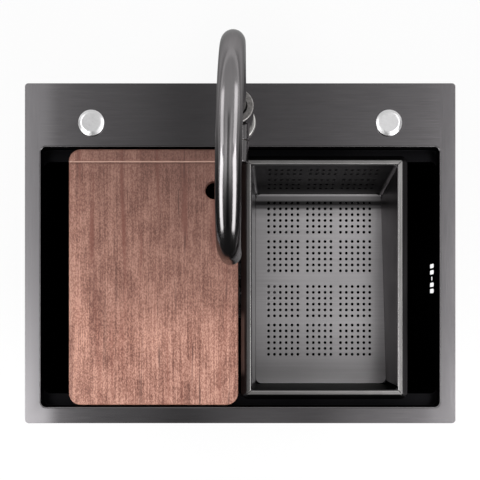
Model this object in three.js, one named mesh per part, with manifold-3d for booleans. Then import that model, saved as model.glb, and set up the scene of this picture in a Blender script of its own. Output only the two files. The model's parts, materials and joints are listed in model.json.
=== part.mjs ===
// Workstation kitchen sink: a steel bowl with a tap deck, a swivelling tap, a cutting board and a draining
// basket that slide on two ledges, two hole caps, and the waste, overflow and fixings below.
// Millimetres, +X right, +Y towards the wall, +Z up.
// The origin is on the worktop, under the middle of the front rim.
import * as THREE from "three";
import { mergeVertices } from "three/addons/utils/BufferGeometryUtils.js";
import Module from "manifold-3d";

const wasm = await Module();
wasm.setup();

// General clearances
const seatGap = 0.3; // between pieces that rest on or sit in each other
const runningGap = 0.45; // round the turning spout and the valve's turning disc
const overcut = 5; // how far a cutting tool runs past the face it opens

// Deck and bowl
const sinkWidth = 570;
const sinkLength = 450;
const sinkCornerRadius = 4.5;
const deckThickness = 3;
const deckEdgeBevel = 0.5;
const sideRim = 20.7;
const frontRim = 21.1;
const backDeck = 84.2;
const wallThickness = 1.2;
const bowlCornerRadius = 7.5;
const bowlDepth = 215;
const bowlFloorRadius = 8;
const bowlFootCorner = 3.75; // corner radii at the floor's edge and halfway up its round
const bowlFootHalfway = 6.5;
const floorFall = 5; // from the foot of the walls to the drain
const ledgeWidth = 17; // each accessory ledge, front and back

// Cutting board. Its width is what the basket and the gaps leave.
const boardThickness = 20;
const boardCornerRadius = 15.5;
const boardTopRound = 3.2;
const boardUnderBevel = 1.5;
const boardEndGap = 2.8; // to the bowl wall at each end
const boardLeftGap = 37.1; // to the bowl's left wall
const fingerHoleRadius = 12;
const fingerHoleFromRight = 31.7;
const fingerHoleFromBack = 54.3;
const grooveFromBack = 17;
const grooveInset = 4.5;
const grooveRadius = 1.9;
const grooveDepth = 1.4;

// Draining basket. Its length is what the bowl and the end gaps leave.
const rimWidth = 209.6; // over the bright top bars
const rimBar = 6;
const rimHeight = 7;
const rimFootHeight = 1.8;
const rimFootSide = 7.2; // how far the foot stands out past the bars at the sides
const rimFootEnd = 5.9; // and at the ends, where it rests on the ledges
const rimFootRadius = 10;
const rimTopRadius = 3;
const rimFold = 1.2; // sheet thickness of the folded rim
const basketLeftGap = 3.9; // from the board to the rim's foot
const basketRightGap = 39.3; // from the rim's foot to the bowl's right wall
const basketEndGap = 8.85; // from the rim's foot to the bowl wall at each end
const tubDepth = 85;
const tubWall = 1;
const tubCornerRadius = 6;
const tubLeanLeft = 6;
const tubLeanRightFront = 1;
const tubLeanRightBack = 8.5;
const tubLeanFront = 1;
const tubLeanBack = 27;
const tubLip = 6; // inward lip that carries the perforated floor
const basketFloorThickness = 0.8;
const drainHoleRadius = 2.1;
const drainHoleSides = 3; // each hole is a polygon of the round hole's area
const drainHolePitch = 8.44;
const drainColumnBlocks = [6, 5, 6];
const drainRowBlocks = [6, 6, 6, 6];
const drainColumnGap = 5.4; // extra space between blocks of columns
const drainRowGap = 4.9; // extra space between blocks of rows
const drainMiddleGap = 9.4; // more again across the middle
const drainGridLeft = 18.3; // from the floor's left edge to the first column
const drainGridFront = 41.7; // from the floor's front edge to the first row
const drainEdge = 9; // no hole's centre is nearer the floor's edge than this

// Hole caps
const capRadius = 17.2;
const capHeight = 4.2;
const capBevel = 3.2;
const capHoleRadius = 14;
const capStudRadius = 4;
const capStudLength = 32;
const capFromSide = 88.5; // from the deck's side edge
const capGasketHeight = 1;
const capGasketInset = 1; // from the cap's edge
const capNutRadius = 17;
const capNutHeight = 6;

// Tap body
const fittingsFromBack = 53; // tap and caps, from the back edge
const tapAside = 3; // of the tap's hole to the left of the deck's middle
const tapTurn = 1.4; // degrees to the left of straight ahead, as fitted
const tapHoleRadius = 17.5;
const tapFlangeRadius = 23.7;
const tapFlangeHeight = 5;
const tapFlangeBevel = 1.8;
const tapGasketHeight = 1.5;
const tapGasketInset = 1.5; // from the flange's edge
const tapBodyRadius = 20.3;
const tapBodyTop = 91.3; // above the deck
const collarHeight = 2.7;
const collarBevel = 1.2;
const socketDepth = 15.5;
const bushWall = 3.2;
const shankRadius = 15.8;
const shankBoreRadius = 12.6;
const shankLength = 62; // below the deck's top
const sealHeight = 3;
const sealRadius = 25;
const washerHeight = 2;
const washerRadius = 26;
const tapNutRadius = 25;
const tapNutHeight = 9;
const inletRadius = 5.2;
const inletBoreRadius = 3.2;
const inletSpread = 6.4;
const inletDrop = 96; // below the deck's top

// Spout
const spoutRadius = 11.4;
const spoutWall = 1.5;
const spoutStandoff = 1; // of the tube's end above the bush's
const archRadius = 95;
const springHeight = 315; // above the deck
const outletHeight = 252.7; // the tube's end, above the deck
const aeratorHousingHeight = 12.4;
const aeratorRadius = 9.4;
const aeratorHeight = 9;
const aeratorProud = 1.6;
const aeratorBevel = 0.8;
const aeratorMouthRadius = 6.2;

// Valve and handle, measured along the valve's axis from the tap's axis
const valveHeight = 58; // above the deck
const valveRadius = 15.7;
const valveReach = 35.7;
const valveBoreRadius = 13.9;
const valveBoreStart = 6;
const cartridgeRadius = 12.6;
const cartridgeLength = 22;
const cartridgeNutHeight = 5;
const carrierRadius = 8.4;
const carrierHeight = 5.6;
const carrierSlotWidth = 6.6;
const carrierSlotEnd = 1.5; // metal left at each end of the slot
const carrierFloor = 1; // under the slot
const stemWidth = 5.6;
const stemHeight = 7;
const stemLength = 17;
const handleGap = 0.8;
const handleReach = 63;
const handleBevel = 1.2;
const tiltRange = 20; // degrees, from closed to full flow
const tiltSpare = 1.5; // degrees more that the cap is cut back
const tiltPivot = 34;
const leverRadius = 3.4;
const leverTipRadius = 4.3;
const leverLength = 70; // above the handle's skin
const leverReach = 51;
const leverStraight = 6; // of the lever above the handle's skin, before it widens
const leverTipHeight = 2;
const leverTipBevel = 1.2;
const stemRoof = 3; // metal between the stem's socket and the lever's
const stemMouthDepth = 2; // of the wider mouth that the stem tilts in
const grubRadius = 2.4;
const grubLength = 6.5;
const grubKeyRadius = 1.3;
const grubKeyDepth = 2.5;
const grubFromStemEnd = 4;

// Waste
const drainDishRadius = 60;
const drainSeatRadius = 57.5;
const drainSeatDepth = 3;
const drainHole = 44.5; // radius of the hole in the bowl
const strainerFlangeRadius = 56.5;
const strainerFlangeThickness = 1.5;
const strainerCupRadius = 43.5;
const strainerCupDepth = 48;
const strainerWall = 1.5;
const strainerFlare = 2; // the cup's mouth slopes at 45 degrees over this height
const strainerFootRise = 4; // the cup's floor, from the neck to the wall
const strainerEdgeBevel = 2;
const outletNeckRadius = 24;
const outletNeckLength = 22;
const strainerGasketHeight = 2.5;
const strainerNutHeight = 12;
const strainerNutRadius = 53;
const strainerNutLugs = 6;
const strainerNutLugDepth = 7;
const strainerNutLugWidth = 12;
const strainerBasketRadius = 40.6;
const strainerBasketDepth = 34;
const strainerBasketWall = 1.2;
const strainerBasketTaper = 4;
const strainerBasketRim = 2; // how far the rim stands out to rest in the flare
const strainerBasketSink = 0.6; // the rim's top below the flange's
const strainerHoles = 8; // in each ring of holes
const strainerHoleRings = [
  { fromEdge: 21.2, radius: 2.7, turn: 0 },
  { fromEdge: 8.8, radius: 3.6, turn: 0.5 },
];
const knobRadius = 7.5;
const knobFootRadius = 6;
const knobStemRadius = 2.6;
const knobFootHeight = 2;
const knobStemEnd = 22; // heights above the knob's foot
const knobHeadStart = 25;
const knobHeadEnd = 28;
const knobHeight = 30;
const knobBevel = 2;
const tailRadius = 20;
const tailWall = 3;
const tailLength = 62;
const tailNutRadius = 29;
const tailNutHeight = 18;
const tailCollar = 2.6; // height of the collar on the tail's top
const tailCollarInset = 0.5;
const wasteSides = 16; // facets of the drain seat and the round pieces that fit in and over each other

// Overflow in the right wall
const overflowDepth = 51; // slot centre below the deck
const overflowSlotWidth = 5.8;
const overflowSlotHeight = 28;
const overflowMiddleHeight = 11.5;
const overflowPitch = 8.6;
const overflowSlots = 5;
const overflowGasketThickness = 2;
const overflowGasketRim = 3; // past the housing's inside
const overflowGasketLip = 1; // inside it
const overflowGasketRadius = 4;
const overflowMargin = 4; // housing inside, past the slots
const housingWall = 2;
const housingDepth = 13;
const housingEar = 13; // how far each ear stands out past the housing
const housingEarHeight = 14;
const housingEarRadius = 6;
const housingCornerRadius = 5;
const studRadius = 2;
const studLength = 9;
const studNutRadius = 4.4;
const studNutHeight = 3;
const pipeRadius = 8.9;
const pipeWall = 1.6;
const spigotWall = 1.5;
const spigotLength = 20;
const pipeBend = 30;
const pipeTopGap = 1; // from the housing to the pipe's top end
const pipeEndGap = 6; // from the strainer's cup to the pipe's other end
const pipePortDrop = 30; // strainer port below its flange

// Fixing clips and sound pads
const clipFromEnds = 62; // from the bowl's front and back walls
const clipWidth = 16;
const clipThickness = 2;
const clipReach = 17;
const clipToe = 10;
const worktopThickness = 38;
const lugDepth = 20; // below the deck's underside
const lugThickness = 2.5;
const lugReach = 12;
const clipScrewRadius = 2.4;
const clipScrewHead = 4.6;
const clipScrewHeadHeight = 3.6;
const clipScrewSpare = 4; // above its lug
const clipScrewRoot = 1; // of the shank inside the head
const padThickness = 3;
const padMargin = 45;
const padTop = 60; // below the deck
const padHeight = 100;
const padCornerRadius = 12;

// Values worked out from the sizes above
const deckTop = deckThickness;
const frontEdge = -frontRim / 2;
const openingWidth = sinkWidth - 2 * sideRim;
const openingLength = sinkLength - frontRim - backDeck;
const bowlFront = frontEdge + frontRim;
const bowlBack = bowlFront + openingLength;
const bowlCentre = (bowlFront + bowlBack) / 2;
const innerLength = openingLength - 2 * ledgeWidth;
const fittingsLine = frontEdge + sinkLength - fittingsFromBack;
const capSpread = sinkWidth / 2 - capFromSide;
const ledgeTop = deckTop - boardThickness - seatGap;
const floorEdge = deckTop - bowlDepth;
const dishLevel = floorEdge - floorFall;
const seatLevel = dishLevel - drainSeatDepth;
const seatUnderside = seatLevel - wallThickness;
const wallOutside = openingWidth / 2 + wallThickness;
const overflowLevel = deckTop - overflowDepth;
const portLevel = seatLevel - pipePortDrop;
const degree = Math.PI / 180;
const { clamp, lerp } = THREE.MathUtils;

const finishes = {
  deckSteel: { color: 0x5a5659, roughness: 0.35, metalness: 1 },
  bowlSteel: { color: 0x17161a, roughness: 0.4, metalness: 1 },
  basketSteel: { color: 0x6c6a6a, roughness: 0.32, metalness: 1 },
  tapSteel: { color: 0x5d585e, roughness: 0.15, metalness: 1 },
  chrome: { color: 0xc9c8c9, roughness: 0.12, metalness: 1 },
  plainSteel: { color: 0xa5a6a8, roughness: 0.35, metalness: 1 },
  brass: { color: 0xb08d4c, roughness: 0.35, metalness: 1 },
  walnut: { color: 0x8a5a4a, roughness: 0.55, metalness: 0 },
  rubber: { color: 0x1a1a1b, roughness: 0.85, metalness: 0 },
  whitePlastic: { color: 0xe6e6e2, roughness: 0.45, metalness: 0 },
  blackPlastic: { color: 0x141415, roughness: 0.5, metalness: 0 },
};

const sink = new THREE.Group();

// A geometry as a closed solid for joining and cutting, without the slivers that a merge collapses.
function solidOf(geometry) {
  const bare = geometry.clone();
  bare.deleteAttribute("normal");
  bare.deleteAttribute("uv");
  const merged = mergeVertices(bare, 1e-4);
  const corners = merged.index.array;
  const kept = [];
  for (let i = 0; i < corners.length; i += 3) {
    const [a, b, c] = [corners[i], corners[i + 1], corners[i + 2]];
    if (a !== b && b !== c && a !== c) kept.push(a, b, c);
  }
  return new wasm.Manifold(
    new wasm.Mesh({
      numProp: 3,
      vertProperties: merged.attributes.position.array,
      triVerts: new Uint32Array(kept),
    }),
  );
}

function geometryOf(solid) {
  const mesh = solid.getMesh();
  const geometry = new THREE.BufferGeometry();
  geometry.setAttribute("position", new THREE.BufferAttribute(new Float32Array(mesh.vertProperties), 3));
  geometry.setIndex(new THREE.BufferAttribute(new Uint32Array(mesh.triVerts), 1));
  geometry.computeVertexNormals();
  return geometry;
}

function cut(body, ...tools) {
  return geometryOf(tools.reduce((left, tool) => left.subtract(solidOf(tool)), solidOf(body)));
}

function join(...bodies) {
  return geometryOf(bodies.map(solidOf).reduce((whole, body) => whole.add(body)));
}

function addPiece(parent, name, finish, geometry, x = 0, y = 0, z = 0) {
  const mesh = new THREE.Mesh(geometry, new THREE.MeshStandardMaterial(finishes[finish]));
  mesh.name = name;
  mesh.position.set(x, y, z);
  parent.add(mesh);
  return mesh;
}

// An outline with rounded corners, anticlockwise, centred on the origin.
function roundedOutline(width, length, radius, steps = 2) {
  const corners = [
    [1, 1],
    [-1, 1],
    [-1, -1],
    [1, -1],
  ];
  return corners.flatMap(([sideX, sideY], quarter) =>
    Array.from({ length: steps + 1 }, (_, step) => {
      const angle = (quarter + step / steps) * 90 * degree;
      return new THREE.Vector2(
        sideX * (width / 2 - radius) + radius * Math.cos(angle),
        sideY * (length / 2 - radius) + radius * Math.sin(angle),
      );
    }),
  );
}

// A solid through outlines of equal point counts, listed from the lowest level up.
function stacked(levels) {
  const count = levels[0].outline.length;
  const positions = levels.flatMap(({ z, outline }) => outline.flatMap((point) => [point.x, point.y, z]));
  const index = [];
  for (let level = 0; level < levels.length - 1; level++) {
    for (let i = 0; i < count; i++) {
      const a = level * count + i;
      const b = level * count + ((i + 1) % count);
      index.push(a, b, b + count, a, b + count, a + count);
    }
  }
  const top = (levels.length - 1) * count;
  for (let i = 1; i < count - 1; i++) {
    index.push(0, i + 1, i);
    index.push(top, top + i, top + i + 1);
  }
  const geometry = new THREE.BufferGeometry();
  geometry.setAttribute("position", new THREE.Float32BufferAttribute(positions, 3));
  geometry.setIndex(index);
  return geometryOf(solidOf(geometry));
}

function prism(outline, low, high) {
  return stacked([
    { z: low, outline },
    { z: high, outline },
  ]);
}

// A block between two levels, centred on x = y = 0.
function block(width, length, low, high) {
  return new THREE.BoxGeometry(width, length, high - low).translate(0, 0, (low + high) / 2);
}

// A round bar along Z between two levels.
function bar(radius, low, high, sides = 16) {
  return new THREE.CylinderGeometry(radius, radius, high - low, sides)
    .rotateX(90 * degree)
    .translate(0, 0, (low + high) / 2);
}

// A profile of [radius, z] points turned about Z. The points run anticlockwise in the r-z plane.
function turned(profile, sides = 16) {
  const points = profile.map(([radius, z]) => new THREE.Vector2(radius, z));
  const first = points[0];
  const last = points[points.length - 1];
  if (first.x > 0 || last.x > 0) points.push(first.clone());
  const lathe = new THREE.LatheGeometry(points, sides).rotateX(90 * degree);
  return geometryOf(solidOf(lathe));
}

function ring(innerRadius, outerRadius, low, high, sides = 12) {
  return turned(
    [
      [innerRadius, low],
      [outerRadius, low],
      [outerRadius, high],
      [innerRadius, high],
    ],
    sides,
  );
}

// A hexagonal nut, its radius taken over the corners.
function hexNut(radius, hole, low, high) {
  return cut(bar(radius, low, high, 6), bar(hole, low - overcut, high + overcut, 12));
}

// A straight run, one bend of a true radius, and another straight run. Each straight run takes one step.
class HookRoute extends THREE.Curve {
  constructor(route) {
    super();
    Object.assign(this, route);
  }

  getUtoTmapping(share) {
    return share;
  }

  getPoint(share) {
    const step = share * (this.bendSteps + 2);
    const angle = this.turn * clamp((step - 1) / this.bendSteps, 0, 1);
    const straight = this.after * Math.max(0, step - 1 - this.bendSteps);
    const ahead =
      this.before * Math.min(1, step) + this.radius * Math.sin(angle) + straight * Math.cos(angle);
    const aside = this.radius * (1 - Math.cos(angle)) + straight * Math.sin(angle);
    return this.start.clone().addScaledVector(this.heading, ahead).addScaledVector(this.side, aside);
  }
}

function circleOutline(radius, sides) {
  return Array.from({ length: sides }, (_, i) => {
    const angle = (i * 360 * degree) / sides;
    return new THREE.Vector2(radius * Math.cos(angle), radius * Math.sin(angle));
  });
}

function hollowTube(route, radius, wall, sides, boreSides) {
  const section = new THREE.Shape(circleOutline(radius, sides));
  section.holes.push(new THREE.Path(circleOutline(radius - wall, boreSides).reverse()));
  const tube = new THREE.ExtrudeGeometry(section, { extrudePath: route, steps: route.bendSteps + 2 });
  return geometryOf(solidOf(tube));
}

// Turns a piece made along Z so that it lies along the valve's axis, towards the user.
function alongValve(geometry) {
  return geometry.rotateX(90 * degree);
}

// ---- deck and bowl ----

function topPlate() {
  const level = (z, inset) => ({
    z,
    outline: roundedOutline(sinkWidth - 2 * inset, sinkLength - 2 * inset, sinkCornerRadius - inset),
  });
  const levels = [level(0, 0), level(deckThickness - deckEdgeBevel, 0), level(deckTop, deckEdgeBevel)];
  const sheet = stacked(levels).translate(0, frontEdge + sinkLength / 2, 0);
  const around = wallThickness + seatGap;
  const opening = prism(
    roundedOutline(openingWidth + 2 * around, openingLength + 2 * around, bowlCornerRadius + around),
    -overcut,
    deckTop + overcut,
  ).translate(0, bowlCentre, 0);
  const holes = [
    [-tapAside, tapHoleRadius],
    [-capSpread, capHoleRadius],
    [capSpread, capHoleRadius],
  ].map(([x, radius]) => bar(radius, -overcut, deckTop + overcut).translate(x, fittingsLine, 0));
  return cut(sheet, opening, ...holes);
}

// The bowl's lower space or its outer skin: grow is the sheet thickness for the skin, and 0 for the space.
function bowlForm(grow) {
  const level = (z, width, length, radius) => ({
    z: z - grow,
    outline: roundedOutline(width + 2 * grow, length + 2 * grow, radius + grow, wasteSides / 4),
  });
  const round = bowlFloorRadius;
  const halfway = round * (1 - Math.SQRT1_2);
  const floorWidth = openingWidth - 2 * round;
  const floorLength = innerLength - 2 * round;
  return stacked([
    level(seatLevel, 2 * drainSeatRadius, 2 * drainSeatRadius, drainSeatRadius),
    level(dishLevel, 2 * drainDishRadius, 2 * drainDishRadius, drainDishRadius),
    level(floorEdge, floorWidth, floorLength, bowlFootCorner),
    level(floorEdge + halfway, openingWidth - 2 * halfway, innerLength - 2 * halfway, bowlFootHalfway),
    level(floorEdge + round, openingWidth, innerLength, bowlCornerRadius),
    level(ledgeTop, openingWidth, innerLength, bowlCornerRadius),
  ]);
}

function ledgePocket(grow) {
  const outline = roundedOutline(
    openingWidth + 2 * grow,
    openingLength + 2 * grow,
    bowlCornerRadius + grow,
  );
  return prism(outline, ledgeTop - grow, grow ? deckTop : deckTop + overcut);
}

function overflowCutters() {
  const middle = (overflowSlots - 1) / 2;
  return Array.from({ length: overflowSlots }, (_, i) => {
    const height = i === middle ? overflowMiddleHeight : overflowSlotHeight;
    const outline = roundedOutline(overflowSlotWidth, height, overflowSlotWidth / 2, 2);
    return prism(outline, -overcut, overcut)
      .rotateX(90 * degree)
      .rotateZ(90 * degree)
      .translate(wallOutside, bowlCentre + (i - middle) * overflowPitch, overflowLevel);
  });
}

const clipLines = [bowlFront + ledgeWidth + clipFromEnds, bowlBack - ledgeWidth - clipFromEnds];
const lugLevel = -lugDepth;
const studSpread = (overflowSlots * overflowPitch) / 2 + overflowMargin + housingEar / 2;

function weldedParts() {
  const lugs = [-1, 1].flatMap((side) =>
    clipLines.map((y) => {
      const lug = block(lugReach + wallThickness, clipWidth, lugLevel - lugThickness, lugLevel);
      const screwHole = bar(clipScrewRadius + seatGap, lugLevel - overcut, lugLevel + overcut, 6);
      const middle = wallOutside + (lugReach - wallThickness) / 2;
      return cut(lug.translate(side * middle, y, 0), screwHole.translate(side * clipScrewLine, y, 0));
    }),
  );
  const studs = [-1, 1].map((side) =>
    bar(studRadius, -wallThickness / 2, studLength, 8)
      .rotateY(90 * degree)
      .translate(wallOutside, bowlCentre + side * studSpread, overflowLevel),
  );
  return [...lugs, ...studs];
}

const clipScrewLine = wallOutside + lugReach / 2;

function bowlShell() {
  const skin = join(bowlForm(wallThickness), ledgePocket(wallThickness));
  const space = join(bowlForm(0), ledgePocket(0));
  const shell = cut(skin, space, bar(drainHole, seatUnderside - overcut, seatLevel + overcut, 28));
  const placed = shell.translate(0, bowlCentre, 0);
  return cut(join(placed, ...weldedParts()), ...overflowCutters());
}

function soundPad(length) {
  const outline = roundedOutline(length, padHeight, padCornerRadius);
  return prism(outline, 0, padThickness)
    .rotateX(90 * degree)
    .translate(0, 0, deckTop - padTop - padHeight / 2);
}

addPiece(sink, "top_plate", "deckSteel", topPlate());
addPiece(sink, "bowl_shell", "bowlSteel", bowlShell());

const padOnEnd = openingWidth - 2 * padMargin;
const padOnSide = innerLength - 2 * padMargin;
const frontSkin = bowlFront + ledgeWidth - wallThickness;
const backSkin = bowlBack - ledgeWidth + wallThickness;
addPiece(sink, "sound_pad_front", "rubber", soundPad(padOnEnd), 0, frontSkin - seatGap, 0);
addPiece(sink, "sound_pad_back", "rubber", soundPad(padOnEnd), 0, backSkin + seatGap + padThickness, 0);
addPiece(
  sink,
  "sound_pad_left",
  "rubber",
  soundPad(padOnSide).rotateZ(90 * degree),
  -wallOutside - seatGap - padThickness,
  bowlCentre,
  0,
);

// ---- fixing clips ----

// A folded arm that hangs on its screw and bears on the worktop's underside with its toe. It points
// along +X.
function clipArm() {
  const heel = seatGap - lugReach / 2;
  const toe = heel + clipReach;
  const profile = [
    [heel, 0],
    [toe, 0],
    [toe, clipToe],
    [toe - clipThickness, clipToe],
    [toe - clipThickness, clipThickness],
    [heel + clipThickness, clipThickness],
    [heel + clipThickness, clipToe / 2],
    [heel, clipToe / 2],
  ].map(([x, z]) => new THREE.Vector2(x, z));
  const shape = new THREE.Shape(profile);
  const arm = new THREE.ExtrudeGeometry(shape, { depth: clipWidth, bevelEnabled: false })
    .translate(0, 0, -clipWidth / 2)
    .rotateX(90 * degree);
  return cut(arm, bar(clipScrewRadius + seatGap, -overcut, overcut, 6));
}

function clipScrew(armLevel) {
  const headTop = armLevel - seatGap;
  return join(
    bar(clipScrewRadius, headTop - clipScrewRoot, lugLevel + clipScrewSpare, 6),
    bar(clipScrewHead, headTop - clipScrewHeadHeight, headTop, 6),
  );
}

const armLevel = -worktopThickness - clipToe - seatGap;
[
  ["left", -1],
  ["right", 1],
].forEach(([sideName, side]) => {
  ["front", "back"].forEach((endName, i) => {
    const arm = clipArm();
    if (side < 0) arm.rotateZ(180 * degree);
    const x = side * clipScrewLine;
    const y = clipLines[i];
    addPiece(sink, `clip_${sideName}_${endName}`, "plainSteel", arm, x, y, armLevel);
    addPiece(sink, `clip_screw_${sideName}_${endName}`, "plainSteel", clipScrew(armLevel), x, y, 0);
  });
});

// ---- hole caps ----

function holeCap() {
  const low = capGasketHeight + 2 * seatGap;
  const top = low + capHeight;
  return turned(
    [
      [0, low - capStudLength],
      [capStudRadius, low - capStudLength],
      [capStudRadius, low],
      [capRadius, low],
      [capRadius, top - capBevel / 2],
      [capRadius - capBevel, top],
      [0, top],
    ],
    20,
  );
}

// A round flange and a hexagon below it, for the fingers.
function capNut() {
  const top = -deckThickness - seatGap;
  const low = top - capNutHeight;
  const flange = bar(capNutRadius, top - capNutHeight / 3, top);
  const hexagon = bar(capNutRadius / 2, low, top, 6);
  return cut(join(flange, hexagon), bar(capStudRadius + seatGap, low - overcut, overcut, 12));
}

[
  ["left", -capSpread],
  ["right", capSpread],
].forEach(([sideName, x]) => {
  const cap = new THREE.Group();
  cap.position.set(x, fittingsLine, deckTop);
  sink.add(cap);
  addPiece(cap, `hole_cap_${sideName}`, "chrome", holeCap());
  const gasketRadius = capRadius - capGasketInset;
  const gasket = ring(capStudRadius + seatGap, gasketRadius, seatGap, seatGap + capGasketHeight);
  addPiece(cap, `hole_cap_gasket_${sideName}`, "rubber", gasket);
  addPiece(cap, `hole_cap_nut_${sideName}`, "blackPlastic", capNut());
});

// ---- waste ----

const drain = new THREE.Group();
drain.position.set(0, bowlCentre, 0);
sink.add(drain);

const flangeTop = seatLevel + seatGap + strainerFlangeThickness;
const strainerBoreRadius = strainerCupRadius - strainerWall;
const cupFloor = flangeTop - strainerCupDepth;
const neckEnd = cupFloor - outletNeckLength;

// A short spigot towards +X that the overflow pipe pushes on to.
function spigot(radius, start, end, level) {
  return bar(radius, start, end, 8)
    .rotateY(90 * degree)
    .translate(0, 0, level);
}

function strainerBody() {
  const neckBore = outletNeckRadius - strainerWall;
  const portRadius = pipeRadius - pipeWall - seatGap;
  const portEnd = strainerCupRadius + spigotLength;
  const skin = turned(
    [
      [0, neckEnd],
      [outletNeckRadius, neckEnd],
      [outletNeckRadius, cupFloor],
      [strainerCupRadius, cupFloor + strainerFootRise],
      [strainerCupRadius, seatLevel + seatGap],
      [strainerFlangeRadius, seatLevel + seatGap],
      [strainerFlangeRadius, flangeTop - strainerFlangeThickness / 2],
      [strainerFlangeRadius - strainerEdgeBevel, flangeTop],
      [0, flangeTop],
    ],
    wasteSides,
  );
  const hollow = turned(
    [
      [0, neckEnd - overcut],
      [neckBore, neckEnd - overcut],
      [neckBore, cupFloor + strainerWall],
      [strainerBoreRadius, cupFloor + strainerFootRise + strainerWall],
      [strainerBoreRadius, flangeTop - strainerFlare],
      [strainerBoreRadius + strainerFlare, flangeTop],
      [strainerBoreRadius + strainerFlare, flangeTop + overcut],
      [0, flangeTop + overcut],
    ],
    wasteSides,
  );
  const portStart = strainerCupRadius - overcut;
  const port = spigot(portRadius, portStart, portEnd, portLevel);
  const portBore = spigot(portRadius - spigotWall, portStart - overcut, portEnd + overcut, portLevel);
  return cut(join(skin, port), hollow, portBore);
}

const gasketTop = seatUnderside - seatGap;
const strainerNutTop = gasketTop - strainerGasketHeight - seatGap;

function strainerNut() {
  const low = strainerNutTop - strainerNutHeight;
  const lugs = Array.from({ length: strainerNutLugs }, (_, i) =>
    block(strainerNutLugDepth, strainerNutLugWidth, low, strainerNutTop)
      .translate(strainerNutRadius, 0, 0)
      .rotateZ(((i + 0.5) * 360 * degree) / strainerNutLugs),
  );
  const body = join(bar(strainerNutRadius, low, strainerNutTop, wasteSides), ...lugs);
  const boreRadius = strainerCupRadius + seatGap;
  return cut(body, bar(boreRadius, low - overcut, strainerNutTop + overcut, wasteSides));
}

// The lift-out strainer: a tapered perforated cup whose rim sits in the flare of the strainer body.
function strainerBasket() {
  const top = flangeTop - strainerBasketSink;
  const low = top - strainerBasketDepth;
  const foot = strainerBasketRadius - strainerBasketTaper;
  const aboveFlare = flangeTop - strainerBoreRadius - strainerFlare + Math.SQRT2 * seatGap;
  const onFlare = (radius) => [radius, aboveFlare + radius];
  const cup = turned(
    [
      [0, low],
      [foot, low],
      onFlare(strainerBasketRadius),
      onFlare(strainerBasketRadius + strainerBasketRim),
      [strainerBasketRadius + strainerBasketRim, top],
      [strainerBasketRadius - strainerBasketWall, top],
      [foot - strainerBasketWall, low + strainerBasketWall],
      [0, low + strainerBasketWall],
    ],
    wasteSides,
  );
  const holes = strainerHoleRings.flatMap(({ fromEdge, radius, turn }) =>
    Array.from({ length: strainerHoles }, (_, i) =>
      bar(radius, low - overcut, low + overcut, 4)
        .translate(foot - fromEdge, 0, 0)
        .rotateZ(((i + turn) * 360 * degree) / strainerHoles),
    ),
  );
  return cut(cup, ...holes);
}

function strainerKnob() {
  const low = flangeTop - strainerBasketSink - strainerBasketDepth + strainerBasketWall + seatGap;
  return turned(
    [
      [0, low],
      [knobFootRadius, low],
      [knobFootRadius, low + knobFootHeight],
      [knobStemRadius, low + 2 * knobFootHeight],
      [knobStemRadius, low + knobStemEnd],
      [knobRadius, low + knobHeadStart],
      [knobRadius, low + knobHeadEnd],
      [knobRadius - knobBevel, low + knobHeight],
      [0, low + knobHeight],
    ],
    10,
  );
}

const tailTop = neckEnd - seatGap;
const tailEnd = tailTop - tailLength;

// The nut gathers the strainer's neck and the tail's top collar.
function tailNut() {
  const top = neckEnd + tailNutHeight / 2;
  const low = top - tailNutHeight;
  return cut(
    bar(tailNutRadius, low, top, 8),
    bar(outletNeckRadius + seatGap, tailTop - tailCollar - seatGap, top + overcut, wasteSides),
    bar(tailRadius + seatGap, low - overcut, top + overcut),
  );
}

function tailPipe() {
  return turned([
    [tailRadius - tailWall, tailEnd],
    [tailRadius, tailEnd],
    [tailRadius, tailTop - tailCollar],
    [outletNeckRadius - tailCollarInset, tailTop - tailCollar],
    [outletNeckRadius - tailCollarInset, tailTop],
    [tailRadius - tailWall, tailTop],
  ]);
}

addPiece(drain, "strainer_body", "plainSteel", strainerBody());
addPiece(
  drain,
  "strainer_gasket",
  "rubber",
  ring(
    strainerCupRadius + seatGap,
    strainerFlangeRadius - strainerEdgeBevel,
    gasketTop - strainerGasketHeight,
    gasketTop,
    wasteSides,
  ),
);
addPiece(drain, "strainer_nut", "blackPlastic", strainerNut());
addPiece(drain, "strainer_basket", "plainSteel", strainerBasket());
addPiece(drain, "strainer_knob", "blackPlastic", strainerKnob());
addPiece(drain, "tailpiece", "whitePlastic", tailPipe());
addPiece(drain, "tailpiece_nut", "whitePlastic", tailNut());

// ---- overflow ----

const overflow = new THREE.Group();
overflow.position.set(wallOutside, bowlCentre, overflowLevel);
sink.add(overflow);

const housingWidth = overflowSlots * overflowPitch + 2 * overflowMargin;
const housingHeight = overflowSlotHeight + 2 * overflowMargin;
const flangeStart = seatGap + overflowGasketThickness + seatGap;
const pipeLine = seatGap + pipeRadius + seatGap;

// A plate or block that faces the bowl's right wall, from one distance off the wall to another.
function facingWall(width, height, radius, near, far) {
  return prism(roundedOutline(width, height, radius), near, far)
    .rotateX(90 * degree)
    .rotateZ(90 * degree);
}

function overflowGasket() {
  const plate = (past, radius, near, far) =>
    facingWall(housingWidth + 2 * past, housingHeight + 2 * past, radius, near, far);
  const frame = plate(overflowGasketRim, overflowGasketRadius, seatGap, seatGap + overflowGasketThickness);
  return cut(frame, plate(-overflowGasketLip, overflowGasketRadius - overflowGasketLip, -overcut, overcut));
}

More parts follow.
